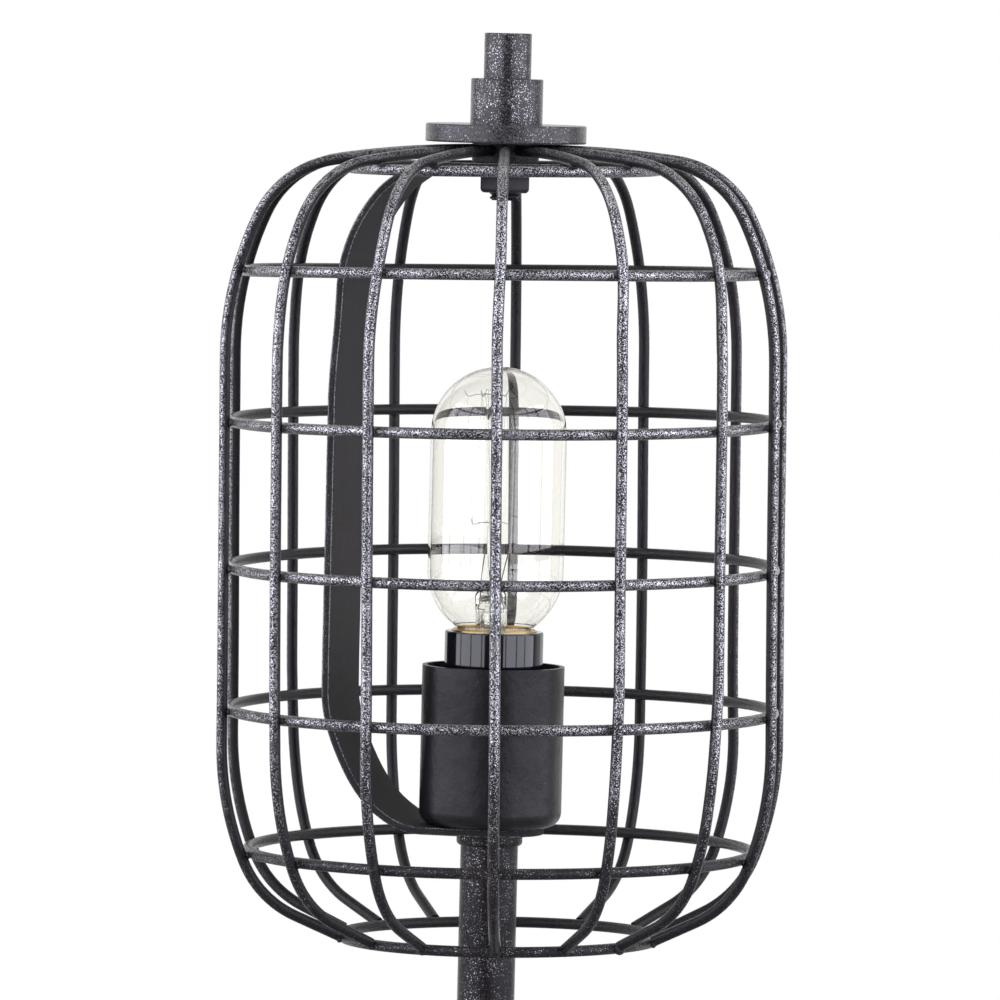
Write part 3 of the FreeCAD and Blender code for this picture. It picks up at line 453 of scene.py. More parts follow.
PHENOLIC_DARK = "08080c"
PHENOLIC_PALE = "14141c"
PHENOLIC_FLOW_MM = 6.0
BRASS_DEEP = "a98d5c"
BRASS_PALE = "dcc596"
BRASS_PATCH_MM = 2.5

# Moulded phenolic: a deep black with a clear gloss that mirrors the lights as upright bands.
phenolic = mottled("moulded_phenolic", PHENOLIC_FLOW_MM, PHENOLIC_DARK, PHENOLIC_PALE, detail=3.0,
                   gloss=(0.05, 0.12), looks={"IOR": 1.65})
# Rolled brass: warm yellow metal, a little uneven where it has begun to tarnish.
brass = mottled("rolled_brass", BRASS_PATCH_MM, BRASS_DEEP, BRASS_PALE, detail=3.0, gloss=(0.22, 0.36),
                looks={"Metallic": 1.0})
dress(phenolic, "socket_body", "socket_cap")
dress(brass, "socket_screw_shell", "socket_centre_contact", "socket_terminal_screws")


# Stud, washer and nut
# A blackened M10 stud with a rolled thread and a shoulder stands in the strap's upper hole, held by a washer
# and a hexagon nut from below. They stay on the strap when the cage comes off.

STEEL_DARK = "17171a"
STEEL_PALE = "34343a"
STEEL_PATCH_MM = 1.5
STUD_ROOT = 4.2 * MM
STUD_CREST = 4.98 * MM
STUD_PITCH = 1.5 * MM
STUD_THREAD = [(0, 0), (1, 0.42), (1, 0.54), (0, 0.96), (0, 1)]
STUD_STEPS = 32
SHOULDER_RADIUS = 8 * MM
SHOULDER_HEIGHT = 2.5 * MM
SHOULDER_EDGE = 0.3 * MM
SHOULDER_STEPS = 48
NUT_EDGE = 0.5 * MM
NUT_CORNER = 1.4 * MM
NUT_TURN = math.radians(15.3)


def cut_level(work, low, high):
    """Cuts a shape off flat at two heights."""
    for height, above, below in ((low, False, True), (high, True, False)):
        bmesh.ops.bisect_plane(work, geom=work.verts[:] + work.edges[:] + work.faces[:], dist=SEAM,
                               plane_co=(0, 0, height), plane_no=(0, 0, 1),
                               clear_outer=above, clear_inner=below)


def screw_thread(profile, root, crest, pitch, steps, low, high):
    """A thread: one pitch of its profile, spun up the axis and cut off level. Profile points are shares.

    It starts below the lower cut and ends above the upper one, so that it is whole at both.
    """
    work = bmesh.new()
    begin = low - 1.5 * pitch
    depth = crest - root
    wave = chain(work, [(root + depth * out, 0, begin + pitch * up) for out, up in profile])
    turns = math.ceil((high - low) / pitch) + 2
    bmesh.ops.spin(work, geom=wave, cent=(0, 0, 0), axis=(0, 0, 1), dvec=(0, 0, pitch / steps),
                   angle=math.tau * turns, steps=steps * turns, use_merge=False)
    bmesh.ops.remove_doubles(work, verts=work.verts, dist=SEAM)
    cut_level(work, low, high)
    bmesh.ops.recalc_face_normals(work, faces=work.faces)
    return work


def turn_round(work, outline, steps):
    """Spins an outline of (radius, height) points round the axis, as on a lathe."""
    line = chain(work, [(radius, 0, height) for radius, height in outline])
    full_turn(work, line, steps)
    bmesh.ops.remove_doubles(work, verts=work.verts, dist=SEAM)


def threaded_stud():
    """The stud with its helical thread and the shoulder that rests on the strap."""
    low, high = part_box("finial_stud")
    strap_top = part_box("harp_strap")[1].z
    work = screw_thread(STUD_THREAD, STUD_ROOT, STUD_CREST, STUD_PITCH, STUD_STEPS, low.z, high.z)
    bmesh.ops.holes_fill(work, edges=work.edges, sides=0)
    shoulder_top = strap_top + SHOULDER_HEIGHT
    turn_round(work, [(0, strap_top), (SHOULDER_RADIUS, strap_top),
                      (SHOULDER_RADIUS, shoulder_top - SHOULDER_EDGE),
                      (SHOULDER_RADIUS - SHOULDER_EDGE, shoulder_top), (0, shoulder_top)], SHOULDER_STEPS)
    bmesh.ops.recalc_face_normals(work, faces=work.faces)
    return work


def hexagon_nut():
    """A hexagon nut with softened edges and its lower corners turned off."""
    low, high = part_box("harp_nut")
    work = bmesh.new()
    bmesh.ops.create_circle(work, cap_ends=True, segments=6, radius=high.x,
                            matrix=Matrix.Translation((0, 0, low.z)) @ Matrix.Rotation(NUT_TURN, 4, "Z"))
    raised = bmesh.ops.extrude_face_region(work, geom=work.faces[:])
    top = [part for part in raised["geom"] if isinstance(part, bmesh.types.BMVert)]
    bmesh.ops.translate(work, verts=top, vec=(0, 0, high.z - low.z))
    bmesh.ops.recalc_face_normals(work, faces=work.faces)
    bottom = [edge for edge in work.edges if all(vertex.co.z < low.z + SEAM for vertex in edge.verts)]
    bmesh.ops.bevel(work, geom=bottom, offset=NUT_CORNER, segments=4, profile=0.5, affect="EDGES",
                    material=-1)
    sharp = [edge for edge in work.edges if edge.calc_face_angle() > SMOOTH_UP_TO]
    bmesh.ops.bevel(work, geom=sharp, offset=NUT_EDGE, segments=2, profile=0.5, affect="EDGES", material=-1)
    return work


# Blackened steel: a dark, half-dull metal with paler worn patches.
black_steel = mottled("blackened_steel", STEEL_PATCH_MM, STEEL_DARK, STEEL_PALE, detail=4.0, raggedness=0.6,
                      relief=(0.3, 0.0002), looks={"Roughness": 0.45, "Metallic": 0.4})
dress(black_steel, "harp_washer")
add_piece(threaded_stud(), "rolled_stud", black_steel, "stand", "black_steel", "finial_stud")
add_piece(hexagon_nut(), "strap_nut", black_steel, "stand", "black_steel", "harp_nut")


# Bulb envelope
# A tube of faintly amber glass, blown in a mould and drawn in to a neck, with a thicker crown than wall.
# Its neck is cemented into the rim of the screw base.

BULB_TINT = "fffffd"
BULB_AMBER = "e8d490"
BULB_AMBER_DENSITY = 70.0
BULB_NECK_RADIUS = 13.2 * MM
BULB_WALL = 0.5 * MM
BULB_CROWN = 0.3 * MM
BULB_LOWER_CENTRE = 368.7 * MM
BULB_STEPS = 96
BULB_NECK_STEPS = 20
BULB_SIDE_STEPS = 12
BULB_DOME_STEPS = 24
RIPPLE_MM = 18.0


def blown_glass(name, tint, ripple, amber):
    """Clear blown glass: almost colourless face on, amber where the wall is seen edgeways, slowly rippled.

    Rays from lamps pass straight through, as they nearly do in a thin wall. amber is how strongly a thick
    stretch of the glass is coloured.
    """
    material = new_material(name)
    place = add_node(material, "TexCoord")
    wave = add_node(material, "TexNoise", {"Scale": scale_for(RIPPLE_MM), "Detail": 1.0},
                    {"Vector": place.outputs["Object"]})
    relief = add_node(material, "Bump", {"Strength": ripple, "Distance": 0.0004},
                      {"Height": wave.outputs["Fac"]})
    glass = add_node(material, "BsdfPrincipled", {"Base Color": linear(tint), "Roughness": 0.0, "IOR": 1.47,
                                                  "Transmission Weight": 1.0},
                     {"Normal": relief.outputs["Normal"]})
    open_way = add_node(material, "BsdfTransparent", {"Color": linear(tint)})
    ray = add_node(material, "LightPath")
    shader = add_node(material, "MixShader", links={0: ray.outputs["Is Shadow Ray"], 1: glass.outputs["BSDF"],
                                                    2: open_way.outputs["BSDF"]})
    depth = add_node(material, "VolumeAbsorption", {"Color": linear(BULB_AMBER), "Density": amber})
    add_node(material, "OutputMaterial", links={"Surface": shader.outputs["Shader"],
                                                "Volume": depth.outputs["Volume"]})
    return material


def blown_envelope():
    """The bulb's glass: a line drawn up the neck and swung over both domes, spun round and given a wall."""
    low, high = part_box("bulb_glass")
    radius = high.x
    neck_turn = math.asin(BULB_NECK_RADIUS / radius)
    lower_centre = Vector((0, 0, BULB_LOWER_CENTRE))
    upper_centre = Vector((0, 0, high.z - radius))
    neck_top = BULB_LOWER_CENTRE - radius * math.cos(neck_turn)
    work = bmesh.new()
    neck = chain(work, [(BULB_NECK_RADIUS, 0, low.z), (BULB_NECK_RADIUS, 0, neck_top)])
    bulge = bmesh.ops.spin(work, geom=[neck[1]], cent=lower_centre, axis=(0, 1, 0), dvec=(0, 0, 0),
                           angle=neck_turn - math.pi / 2, steps=BULB_NECK_STEPS, use_merge=False)
    side = bmesh.ops.spin(work, geom=bulge["geom_last"], cent=lower_centre, axis=(0, 1, 0), angle=0,
                          steps=BULB_SIDE_STEPS, dvec=(upper_centre - lower_centre) / BULB_SIDE_STEPS,
                          use_merge=False)
    bmesh.ops.spin(work, geom=side["geom_last"], cent=upper_centre, axis=(0, 1, 0), dvec=(0, 0, 0),
                   angle=-math.pi / 2, steps=BULB_DOME_STEPS, use_merge=False)
    full_turn(work, work.verts[:] + work.edges[:], BULB_STEPS)
    bmesh.ops.remove_doubles(work, verts=work.verts, dist=SEAM)
    bmesh.ops.recalc_face_normals(work, faces=work.faces)
    if max(work.faces, key=lambda face: face.calc_center_median().z).normal.z < 0:
        bmesh.ops.reverse_faces(work, faces=work.faces)
    outside = set(work.verts)
    bmesh.ops.solidify(work, geom=work.faces, thickness=BULB_WALL)
    for vertex in work.verts:
        if vertex not in outside and vertex.co.z > upper_centre.z:
            share = (vertex.co.z - upper_centre.z) / radius
            vertex.co.z -= BULB_CROWN * share ** 4
    bmesh.ops.recalc_face_normals(work, faces=work.faces)
    return work


amber_glass = blown_glass("blown_amber_glass", BULB_TINT, ripple=0.15, amber=BULB_AMBER_DENSITY)
add_piece(blown_envelope(), "bulb_envelope", amber_glass, "bulb", "amber_glass", "bulb_glass")


# Screw base of the bulb
# A brass sheet cap, rolled to a coarse round thread and flared to a rim, with a black glass insulator and a
# soldered brass tip below.

CAP_ROOT = 12.3 * MM
CAP_CREST = 13.0 * MM
CAP_PITCH = 25.4 / 7 * MM
CAP_WAVE_STEPS = 8
CAP_WAVE = [(0.5 - 0.5 * math.cos(math.tau * step / CAP_WAVE_STEPS), step / CAP_WAVE_STEPS)
            for step in range(CAP_WAVE_STEPS + 1)]
CAP_STEPS = 48
CAP_SHEET = 0.3 * MM
CAP_NECK = 343.5 * MM
# The rim's lower and upper edge, measured down from the top of the base.
CAP_RIM_BOTTOM = 4 * MM
CAP_RIM_TOP = 0.7 * MM
CAP_RIM_EDGE = 0.6 * MM
INSULATOR_DARK = "0a0a0c"
INSULATOR_PALE = "1a1a20"
INSULATOR_FLOW_MM = 4.0


def screw_cap():
    """The cap: a round thread up to a plain neck, and a rim that flares out below the glass."""
    low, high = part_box("bulb_screw_base")
    work = screw_thread(CAP_WAVE, CAP_ROOT, CAP_CREST, CAP_PITCH, CAP_STEPS, low.z, CAP_NECK)
    rim_bottom = high.z - CAP_RIM_BOTTOM
    rim_top = high.z - CAP_RIM_TOP
    turn_round(work, [(CAP_ROOT, CAP_NECK - CAP_PITCH / 4), (CAP_CREST, CAP_NECK), (CAP_CREST, rim_bottom),
                      (high.x, rim_bottom + CAP_RIM_EDGE), (high.x, rim_top - CAP_RIM_EDGE),
                      (high.x - CAP_RIM_EDGE, rim_top)], BULB_STEPS)
    bmesh.ops.recalc_face_normals(work, faces=work.faces)
    bmesh.ops.solidify(work, geom=work.faces, thickness=CAP_SHEET)
    bmesh.ops.recalc_face_normals(work, faces=work.faces)
    return work


# Black glass, fused into the end of the cap: smooth and shiny with faint flow marks.
insulator = mottled("fused_black_glass", INSULATOR_FLOW_MM, INSULATOR_DARK, INSULATOR_PALE,
                    looks={"Roughness": 0.12, "IOR": 1.52})
add_piece(screw_cap(), "bulb_cap", brass, "bulb_screw", "brass", "bulb_screw_base")
dress(insulator, "bulb_base_insulator")
dress(brass, "bulb_tip_contact")


# Stem, leads, hooks and filament
# A clear glass tube, flared into the neck, is pinched flat over two copper-clad leads and drawn up to a thin
# rod. Fine wires with curled ends stick out of the rod and hold the hair-thin filament, which isn't lit.

STEM_TINT = "f6f7f5"
STEM_AMBER_DENSITY = 5.0
STEM_TUBE_RADIUS = 5.2 * MM
STEM_TUBE_WALL = 0.8 * MM
STEM_FLARE_SHARE = 0.9
STEM_FLARE_TOP = 349.2 * MM
STEM_PINCH_TOP = 362.9 * MM
STEM_PINCH_START = 357 * MM
STEM_PINCH_SHARE = 0.4
STEM_PINCH_RISE = 3 * MM
STEM_ROUNDING = 2 * MM
STEM_ROD_RADIUS = 1.1 * MM
STEM_BUTTON_RADIUS = 1.5 * MM
STEM_STEPS = 40
MOUNT_TURN = math.radians(15)
FRONT = Vector((math.sin(MOUNT_TURN), -math.cos(MOUNT_TURN), 0))
SIDE = Vector((math.cos(MOUNT_TURN), math.sin(MOUNT_TURN), 0))
MOUNT_LEAN = math.radians(1.9)
MOUNT_PIVOT = Vector((0, 0, 318)) * MM
# Each lead's points, in millimetres to the side and up.
LEADS = [[(3.2, 350), (3.2, 362), (3.4, 366), (6.6, 377)],
         [(-3.2, 350), (-3.2, 362), (-3.4, 366), (-1.4, 377)]]
LEAD_RADIUS = 0.2 * MM
UPPER_HOOKS = 427.1 * MM
LOWER_HOOKS = 384.7 * MM
HOOK_COUNT = 5
# A hook's points, in millimetres out from the rod and up. The filament hangs in its lowest one.
HOOK_BENDS = [(0, 0), (3.2, 0.3), (6, -0.5), (7.2, -0.6), (8, 1.4)]
HOOK_LOWEST = 3
HOOK_RADIUS = 0.1 * MM
STRAND_RADIUS = 0.03 * MM
LEAD_DEEP = "4a3c36"
LEAD_PALE = "6f625b"
TUNGSTEN_DARK = "55555a"
TUNGSTEN_PALE = "8b8b90"
DRAWN_WIRE_MM = 0.6
DRAWN_WIRE = {"Roughness": 0.35, "Metallic": 1.0}


def pinched_stem():
    """The stem: a hollow flare and tube with a rod on top, turned in one outline, then squeezed flat."""
    low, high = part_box("bulb_stem")
    foot = high.x * STEM_FLARE_SHARE
    bore = STEM_TUBE_RADIUS - STEM_TUBE_WALL
    inside = [(0, STEM_PINCH_START), (bore * 0.6, STEM_PINCH_START - STEM_ROUNDING / 4),
              (bore, STEM_PINCH_START - STEM_ROUNDING), (bore, STEM_FLARE_TOP),
              (foot - STEM_TUBE_WALL, low.z)]
    tube = [(foot, low.z), (STEM_TUBE_RADIUS, STEM_FLARE_TOP), (STEM_TUBE_RADIUS, STEM_PINCH_START)]
    pinch = [(STEM_TUBE_RADIUS, STEM_PINCH_START + STEM_ROUNDING),
             (STEM_TUBE_RADIUS, STEM_PINCH_TOP - STEM_ROUNDING),
             (STEM_TUBE_RADIUS * 0.85, STEM_PINCH_TOP - STEM_ROUNDING * 0.3),
             (STEM_TUBE_RADIUS * 0.4, STEM_PINCH_TOP)]
    rod = [(STEM_ROD_RADIUS, STEM_PINCH_TOP + STEM_ROUNDING / 2), (STEM_ROD_RADIUS, UPPER_HOOKS - 2.2 * MM),
           (STEM_ROD_RADIUS, UPPER_HOOKS - 1.5 * MM)]
    button = [(STEM_BUTTON_RADIUS, UPPER_HOOKS - 0.6 * MM), (STEM_BUTTON_RADIUS, UPPER_HOOKS + 0.5 * MM),
              (STEM_ROD_RADIUS * 0.8, high.z - 0.1 * MM), (0, high.z)]
    work = bmesh.new()
    turn_round(work, inside + tube + pinch + rod + button, STEM_STEPS)
    for vertex in work.verts:
        if STEM_PINCH_START < vertex.co.z < STEM_PINCH_TOP + SEAM:
            squeeze = min(1, (vertex.co.z - STEM_PINCH_START) / STEM_PINCH_RISE)
            vertex.co.y *= 1 - squeeze * (1 - STEM_PINCH_SHARE)
    bmesh.ops.rotate(work, verts=work.verts, cent=(0, 0, 0), matrix=Matrix.Rotation(MOUNT_TURN, 3, "Z"))
    bmesh.ops.recalc_face_normals(work, faces=work.faces)
    return work


def wires(paths, radius):
    """Round wires along smooth curves through points."""
    line = bpy.data.curves.new("wire", "CURVE")
    line.dimensions = "3D"
    line.bevel_depth = radius
    line.bevel_resolution = 2
    line.use_fill_caps = True
    for path in paths:
        spline = line.splines.new("NURBS")
        spline.points.add(len(path) - 1)
        spline.order_u = 3
        spline.use_endpoint_u = True
        spline.resolution_u = 4
        for point, place in zip(spline.points, path):
            point.co = (*place, 1)
    holder = bpy.data.objects.new("wire", line)
    mesh = bpy.data.meshes.new_from_object(holder)
    work = bmesh.new()
    work.from_mesh(mesh)
    bpy.data.objects.remove(holder)
    bpy.data.curves.remove(line)
    bpy.data.meshes.remove(mesh)
    bmesh.ops.recalc_face_normals(work, faces=work.faces)
    return work


def around(angle, reach, height):
    """A point at a distance from the axis, at an angle from the plane of the pinch."""
    return SIDE * math.cos(angle) * reach - FRONT * math.sin(angle) * reach + Vector((0, 0, height))


def lean_mount(work):
    """Leans a part of the bulb's mount to one side, as the pinch has set."""
    bmesh.ops.rotate(work, verts=work.verts, cent=MOUNT_PIVOT, matrix=Matrix.Rotation(MOUNT_LEAN, 3, FRONT))
    return work


lead_paths = [[SIDE * across * MM + Vector((0, 0, height * MM)) for across, height in lead] for lead in LEADS]
hook_paths = []
strand_stops = [lead_paths[0][-1]]
for step in range(2 * HOOK_COUNT):
    angle = math.pi * (step + 1) / HOOK_COUNT
    height = LOWER_HOOKS if step % 2 else UPPER_HOOKS
    hook = [around(angle, out * MM, height + up * MM) for out, up in HOOK_BENDS]
    hook_paths.append(hook)
    strand_stops.append(hook[HOOK_LOWEST])
strand_stops[-1] = lead_paths[1][-1]
strand_paths = [[start, (start + end) / 2, end] for start, end in zip(strand_stops, strand_stops[1:])]

clear_glass = blown_glass("drawn_clear_glass", STEM_TINT, ripple=0.1, amber=STEM_AMBER_DENSITY)
# Drawn wire: a metal with faint changes of shade from the die.
copper = mottled("copper_clad_wire", DRAWN_WIRE_MM, LEAD_DEEP, LEAD_PALE, looks=DRAWN_WIRE)
tungsten = mottled("drawn_tungsten", DRAWN_WIRE_MM, TUNGSTEN_DARK, TUNGSTEN_PALE, looks=DRAWN_WIRE)
add_piece(lean_mount(pinched_stem()), "bulb_press_stem", clear_glass, "bulb_screw", "clear_glass",
          "bulb_stem")
add_piece(lean_mount(wires(lead_paths, LEAD_RADIUS)), "bulb_leads", copper, "bulb_screw", "copper_wire",
          "bulb_lead_wires")
add_piece(lean_mount(wires(hook_paths, HOOK_RADIUS)), "bulb_hooks", tungsten, "bulb_screw", "tungsten",
          "bulb_support_wires")
add_piece(lean_mount(wires(strand_paths, STRAND_RADIUS)), "bulb_strands", tungsten, "bulb_screw", "tungsten",
          "bulb_filament")


# Cage
# Fourteen ribs of bent round wire are welded to a turned hub, seven wire rings are welded inside them, and
# the whole is lacquered and dry-brushed from outside, with painted shade on inner and lower faces, towards
# the foot, on the welds and on the hub. It was set by hand, so hardly a wire stands true.

WIRE_RADIUS = 1.82 * MM
WIRE_SIDES = 16
RIB_COUNT = 14
RIB_START = Vector((11.1, 0, 507.95)) * MM
RIB_HEADING = Vector((1, 0, 0))
RIB_MOVES = [(325 * MM, math.radians(8.21)), (33.5 * MM, math.radians(56.09)), (108 * MM, math.radians(25.7)),
             (126.25 * MM, None), (104.5 * MM, math.radians(22)), (33.8 * MM, math.radians(43.2)),
             (16.36 * MM, None)]
# Degrees by which a rib stands off its even place at the shoulder, the belly and the foot.
RIB_TURNS_OFF = {1: (-4, -4, -4), 3: (-2.8, -2.2, -3), 4: (-2.2, -2.2, -2.2), 7: (1.4, 0, -1),
                 8: (-2.3, -2.3, -2.3), 9: (2.2, 2.2, 2.2), 10: (1.2, 2.3, 2.8), 11: (1, 0.6, 0.6),
                 12: (1.8, 1.2, 1.2), 13: (2.5, 0.8, -0.1), 14: (2.8, 0, -2)}
TURNS_TO_SHOULDER = (445 * MM, 480 * MM)
TURNS_TO_FOOT = (295 * MM, 340 * MM)
RING_STEPS = 112
# The bend of the ribs that each ring is welded to, or None where they run straight down.
RING_BENDS = {"cage_ring_top": 0, "cage_ring_1": 2, "cage_ring_2": None, "cage_ring_3": None,
              "cage_ring_4": None, "cage_ring_5": 3, "cage_ring_bottom": None}
# Degrees by which a ring is tipped, forwards or back.
RING_TIPS = {"cage_ring_1": -1.1, "cage_ring_3": 0.4}
# The cage leans about a point beside the edge of the disc above it, so that no rib cuts into the disc.
CAGE_LEAN = math.radians(0.85)
CAGE_PIVOT = SIDE * 28 * MM + Vector((0, 0, 507)) * MM
WAVER = 0.4 * MM
WAVER_LENGTH = 80 * MM
WAVER_SEED = 7
BEAD_SIZE = Vector((0.9, 2.2, 1.3)) * MM
BEAD_SPREAD = (0.8, 1.15)
END_BEAD_SIZE = Vector((1.2, 2.3, 1.9)) * MM
HUB_BEAD_SPREAD = (0.8, 1.1)
BEAD_SEED = 7

# A seed of its own, so that every run sets the wires alike.
noise.seed_set(WAVER_SEED)


def set_by_hand(work):
    """Leans the cage to one side and lets its wires wander a little, all of them by one smooth field."""
    bmesh.ops.rotate(work, verts=work.verts, cent=CAGE_PIVOT, matrix=Matrix.Rotation(CAGE_LEAN, 3, FRONT))
    for vertex in work.verts:
        vertex.co += noise.noise_vector(vertex.co / WAVER_LENGTH) * WAVER
    return work


def rib_angle(number, height):
    """The direction of a rib at a height, with what it is off by at the shoulder, belly or foot."""
    shoulder, belly, foot = RIB_TURNS_OFF.get(number, (0, 0, 0))
    raised = smoothstep(*TURNS_TO_SHOULDER, height)
    lowered = 1 - smoothstep(*TURNS_TO_FOOT, height)
    off = belly + (shoulder - belly) * raised + (foot - belly) * lowered
    return math.tau * (number - 1) / RIB_COUNT + math.radians(off)


def ring_tip(name, height):
    """How a ring is tipped about its middle, forwards or back."""
    turn = math.radians(RING_TIPS.get(name, 0))
    centre = Matrix.Translation((0, 0, height))
    return centre @ Matrix.Rotation(turn, 4, SIDE) @ centre.inverted()


def ring_middle(name):
    """The middle of a ring's wire, on the side of the first rib."""
    low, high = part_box(name)
    return Vector((high.x - WIRE_RADIUS, 0, (low.z + high.z) / 2))


def wire_section(work, place, axis):
    """The round section of the wire, turned about an axis to stand across it; gives back its outline."""
    bmesh.ops.create_circle(work, cap_ends=False, segments=WIRE_SIDES, radius=WIRE_RADIUS,
                            matrix=Matrix.Translation(place) @ Matrix.Rotation(math.pi / 2, 4, axis))
    return work.verts[:] + work.edges[:]


def bent_rib(number):
    """One rib, bent in a plane through the axis and turned to its place; gives back its bends' centres."""
    work = bmesh.new()
    centres = follow(work, wire_section(work, RIB_START, "Y"), RIB_START, RIB_HEADING, RIB_MOVES)[1]
    bmesh.ops.holes_fill(work, edges=work.edges, sides=0)
    bmesh.ops.recalc_face_normals(work, faces=work.faces)
    for vertex in work.verts:
        vertex.co = Matrix.Rotation(rib_angle(number, vertex.co.z), 3, "Z") @ vertex.co
    return set_by_hand(work), centres


def wire_ring(name):
    """One ring of wire, spun from its round section and tipped."""
    middle = ring_middle(name)
    work = bmesh.new()
    full_turn(work, wire_section(work, middle, "X"), RING_STEPS)
    bmesh.ops.recalc_face_normals(work, faces=work.faces)
    bmesh.ops.transform(work, matrix=ring_tip(name, middle.z), verts=work.verts)
    return set_by_hand(work)


def add_bead(work, place, outward, turn, size):
    """A drop of weld metal at a point beside the first rib, turned to another rib."""
    tangent = Vector((0, 1, 0))
    axes = Matrix((outward * size.x, tangent * size.y, outward.cross(tangent) * size.z)).transposed()
    bmesh.ops.create_icosphere(work, subdivisions=2, radius=1,
                               matrix=turn @ Matrix.Translation(place) @ axes.to_4x4())


def weld_beads(bend_centres):
    """The weld beads: between each rib and ring, where the ribs end on the bottom ring, and on the hub."""
    shares = random.Random(BEAD_SEED)
    work = bmesh.new()
    for number in range(1, RIB_COUNT + 1):
        for name, bend in RING_BENDS.items():
            middle = ring_middle(name)
            outward = RIB_HEADING
            if bend is not None:
                outward = (middle - bend_centres[bend]).normalized()
            size = END_BEAD_SIZE if name == "cage_ring_bottom" else BEAD_SIZE
            turn = ring_tip(name, middle.z) @ Matrix.Rotation(rib_angle(number, middle.z), 4, "Z")
            add_bead(work, middle + outward * WIRE_RADIUS, outward, turn, size * shares.uniform(*BEAD_SPREAD))
        to_hub = Matrix.Rotation(rib_angle(number, RIB_START.z), 4, "Z")
        add_bead(work, RIB_START, RIB_HEADING, to_hub, END_BEAD_SIZE * shares.uniform(*HUB_BEAD_SPREAD))
    return set_by_hand(work)


wire_lacquer = brushed_lacquer("dry_brushed_wire", veil=0.08, touched_above=0.51, dullness=0.26, ior=1.36,
                               height=0.6, brushed_outside_and_shaded=True)
# The welds and the hub take a darker, plainer copy of the wire's lacquer: painted shade where the rings meet
# the ribs and on the hub under the disc.
weld_lacquer_with_painted_shade = brushed_lacquer("lacquered_weld_painted_shade", veil=0.1, touched_above=0.68, dullness=0.4, ior=1.45,
                               height=0.6, brushed_outside_and_shaded=True)
for number in range(1, RIB_COUNT + 1):
    rib_work, rib_bend_centres = bent_rib(number)
    add_piece(rib_work, f"rib_{number:02d}", wire_lacquer, "cage", "speckled_black_paint",
              f"cage_rib_{number:02d}")
for name in RING_BENDS:
    add_piece(wire_ring(name), name.replace("cage_", "wire_"), wire_lacquer, "cage", "speckled_black_paint",
              name)
add_piece(weld_beads(rib_bend_centres), "cage_welds", weld_lacquer_with_painted_shade, "cage", "speckled_black_paint")
# The hub is dressed in the darker weld lacquer: painted shade under the disc.
dress(weld_lacquer_with_painted_shade, "cage_hub")


# Finial
# A turned disc clamps the cage's hub, with a collar and a knob above it that is screwed down on the stud.
# All three are turned steel with the lamp's finish. On the disc the brush left more veil and fewer specks.

disc_lacquer = brushed_lacquer("dry_brushed_disc", veil=0.15, touched_above=0.63, dullness=0.22, ior=1.45,
                               height=0.25)
dress(turned_lacquer, "finial_collar", "finial_knob")
dress(disc_lacquer, "top_disc")


# Studio
# A white room: a grey floor under the lamp, a white backdrop behind it and two tall soft boxes beside the
# camera, which stands a little above the cage and has a long lens.

FLOOR_GREY = "b4b4b4"
FLOOR_RADIUS = 1.1
FLOOR_FADE = (0.2, 0.9)
FLOOR_GRAIN_MM = 40.0
FLOOR_SIDES = 96
CAMERA_AZIMUTH = math.radians(15.3)
CAMERA_DISTANCE = 3.2
CAMERA_HEIGHT = 0.566
CAMERA_AIM = 0.3922
CAMERA_SIDE = 0.00085
CAMERA_ROLL = math.radians(1.35)
CAMERA_LENS = 349.9
# Each soft box's name, its degrees to the right of the camera and its width.
BOXES = (("left_box", -65, 2.8), ("right_box", 63.5, 2.65))
BOX_DISTANCE = 1.5
BOX_HEIGHT = 1.8
BOX_BOTTOM = 0.02
BOX_RADIANCE = 2.8
BOX_COLOUR = (0.885, 0.89, 1.0)
ROOM_LIGHT = 0.2
LOW_LIGHT = 0.06
DARK_SIDE = 0.05
CEILING = 0.8
# Cosines, from straight behind the lamp, between which the backdrop comes up.
BACKDROP_EDGE = (0.2, 0.75)


def from_camera(turn, distance, height):
    """A place at a distance from the lamp, at an angle to the right of the camera."""
    angle = CAMERA_AZIMUTH + math.radians(turn)
    return Vector((math.sin(angle) * distance, -math.cos(angle) * distance, height))


def facing(place, target):
    """Stands a camera or lamp at a place and points it at a target."""
    return Matrix.Translation(place) @ (target - place).to_track_quat("-Z", "Y").to_matrix().to_4x4()


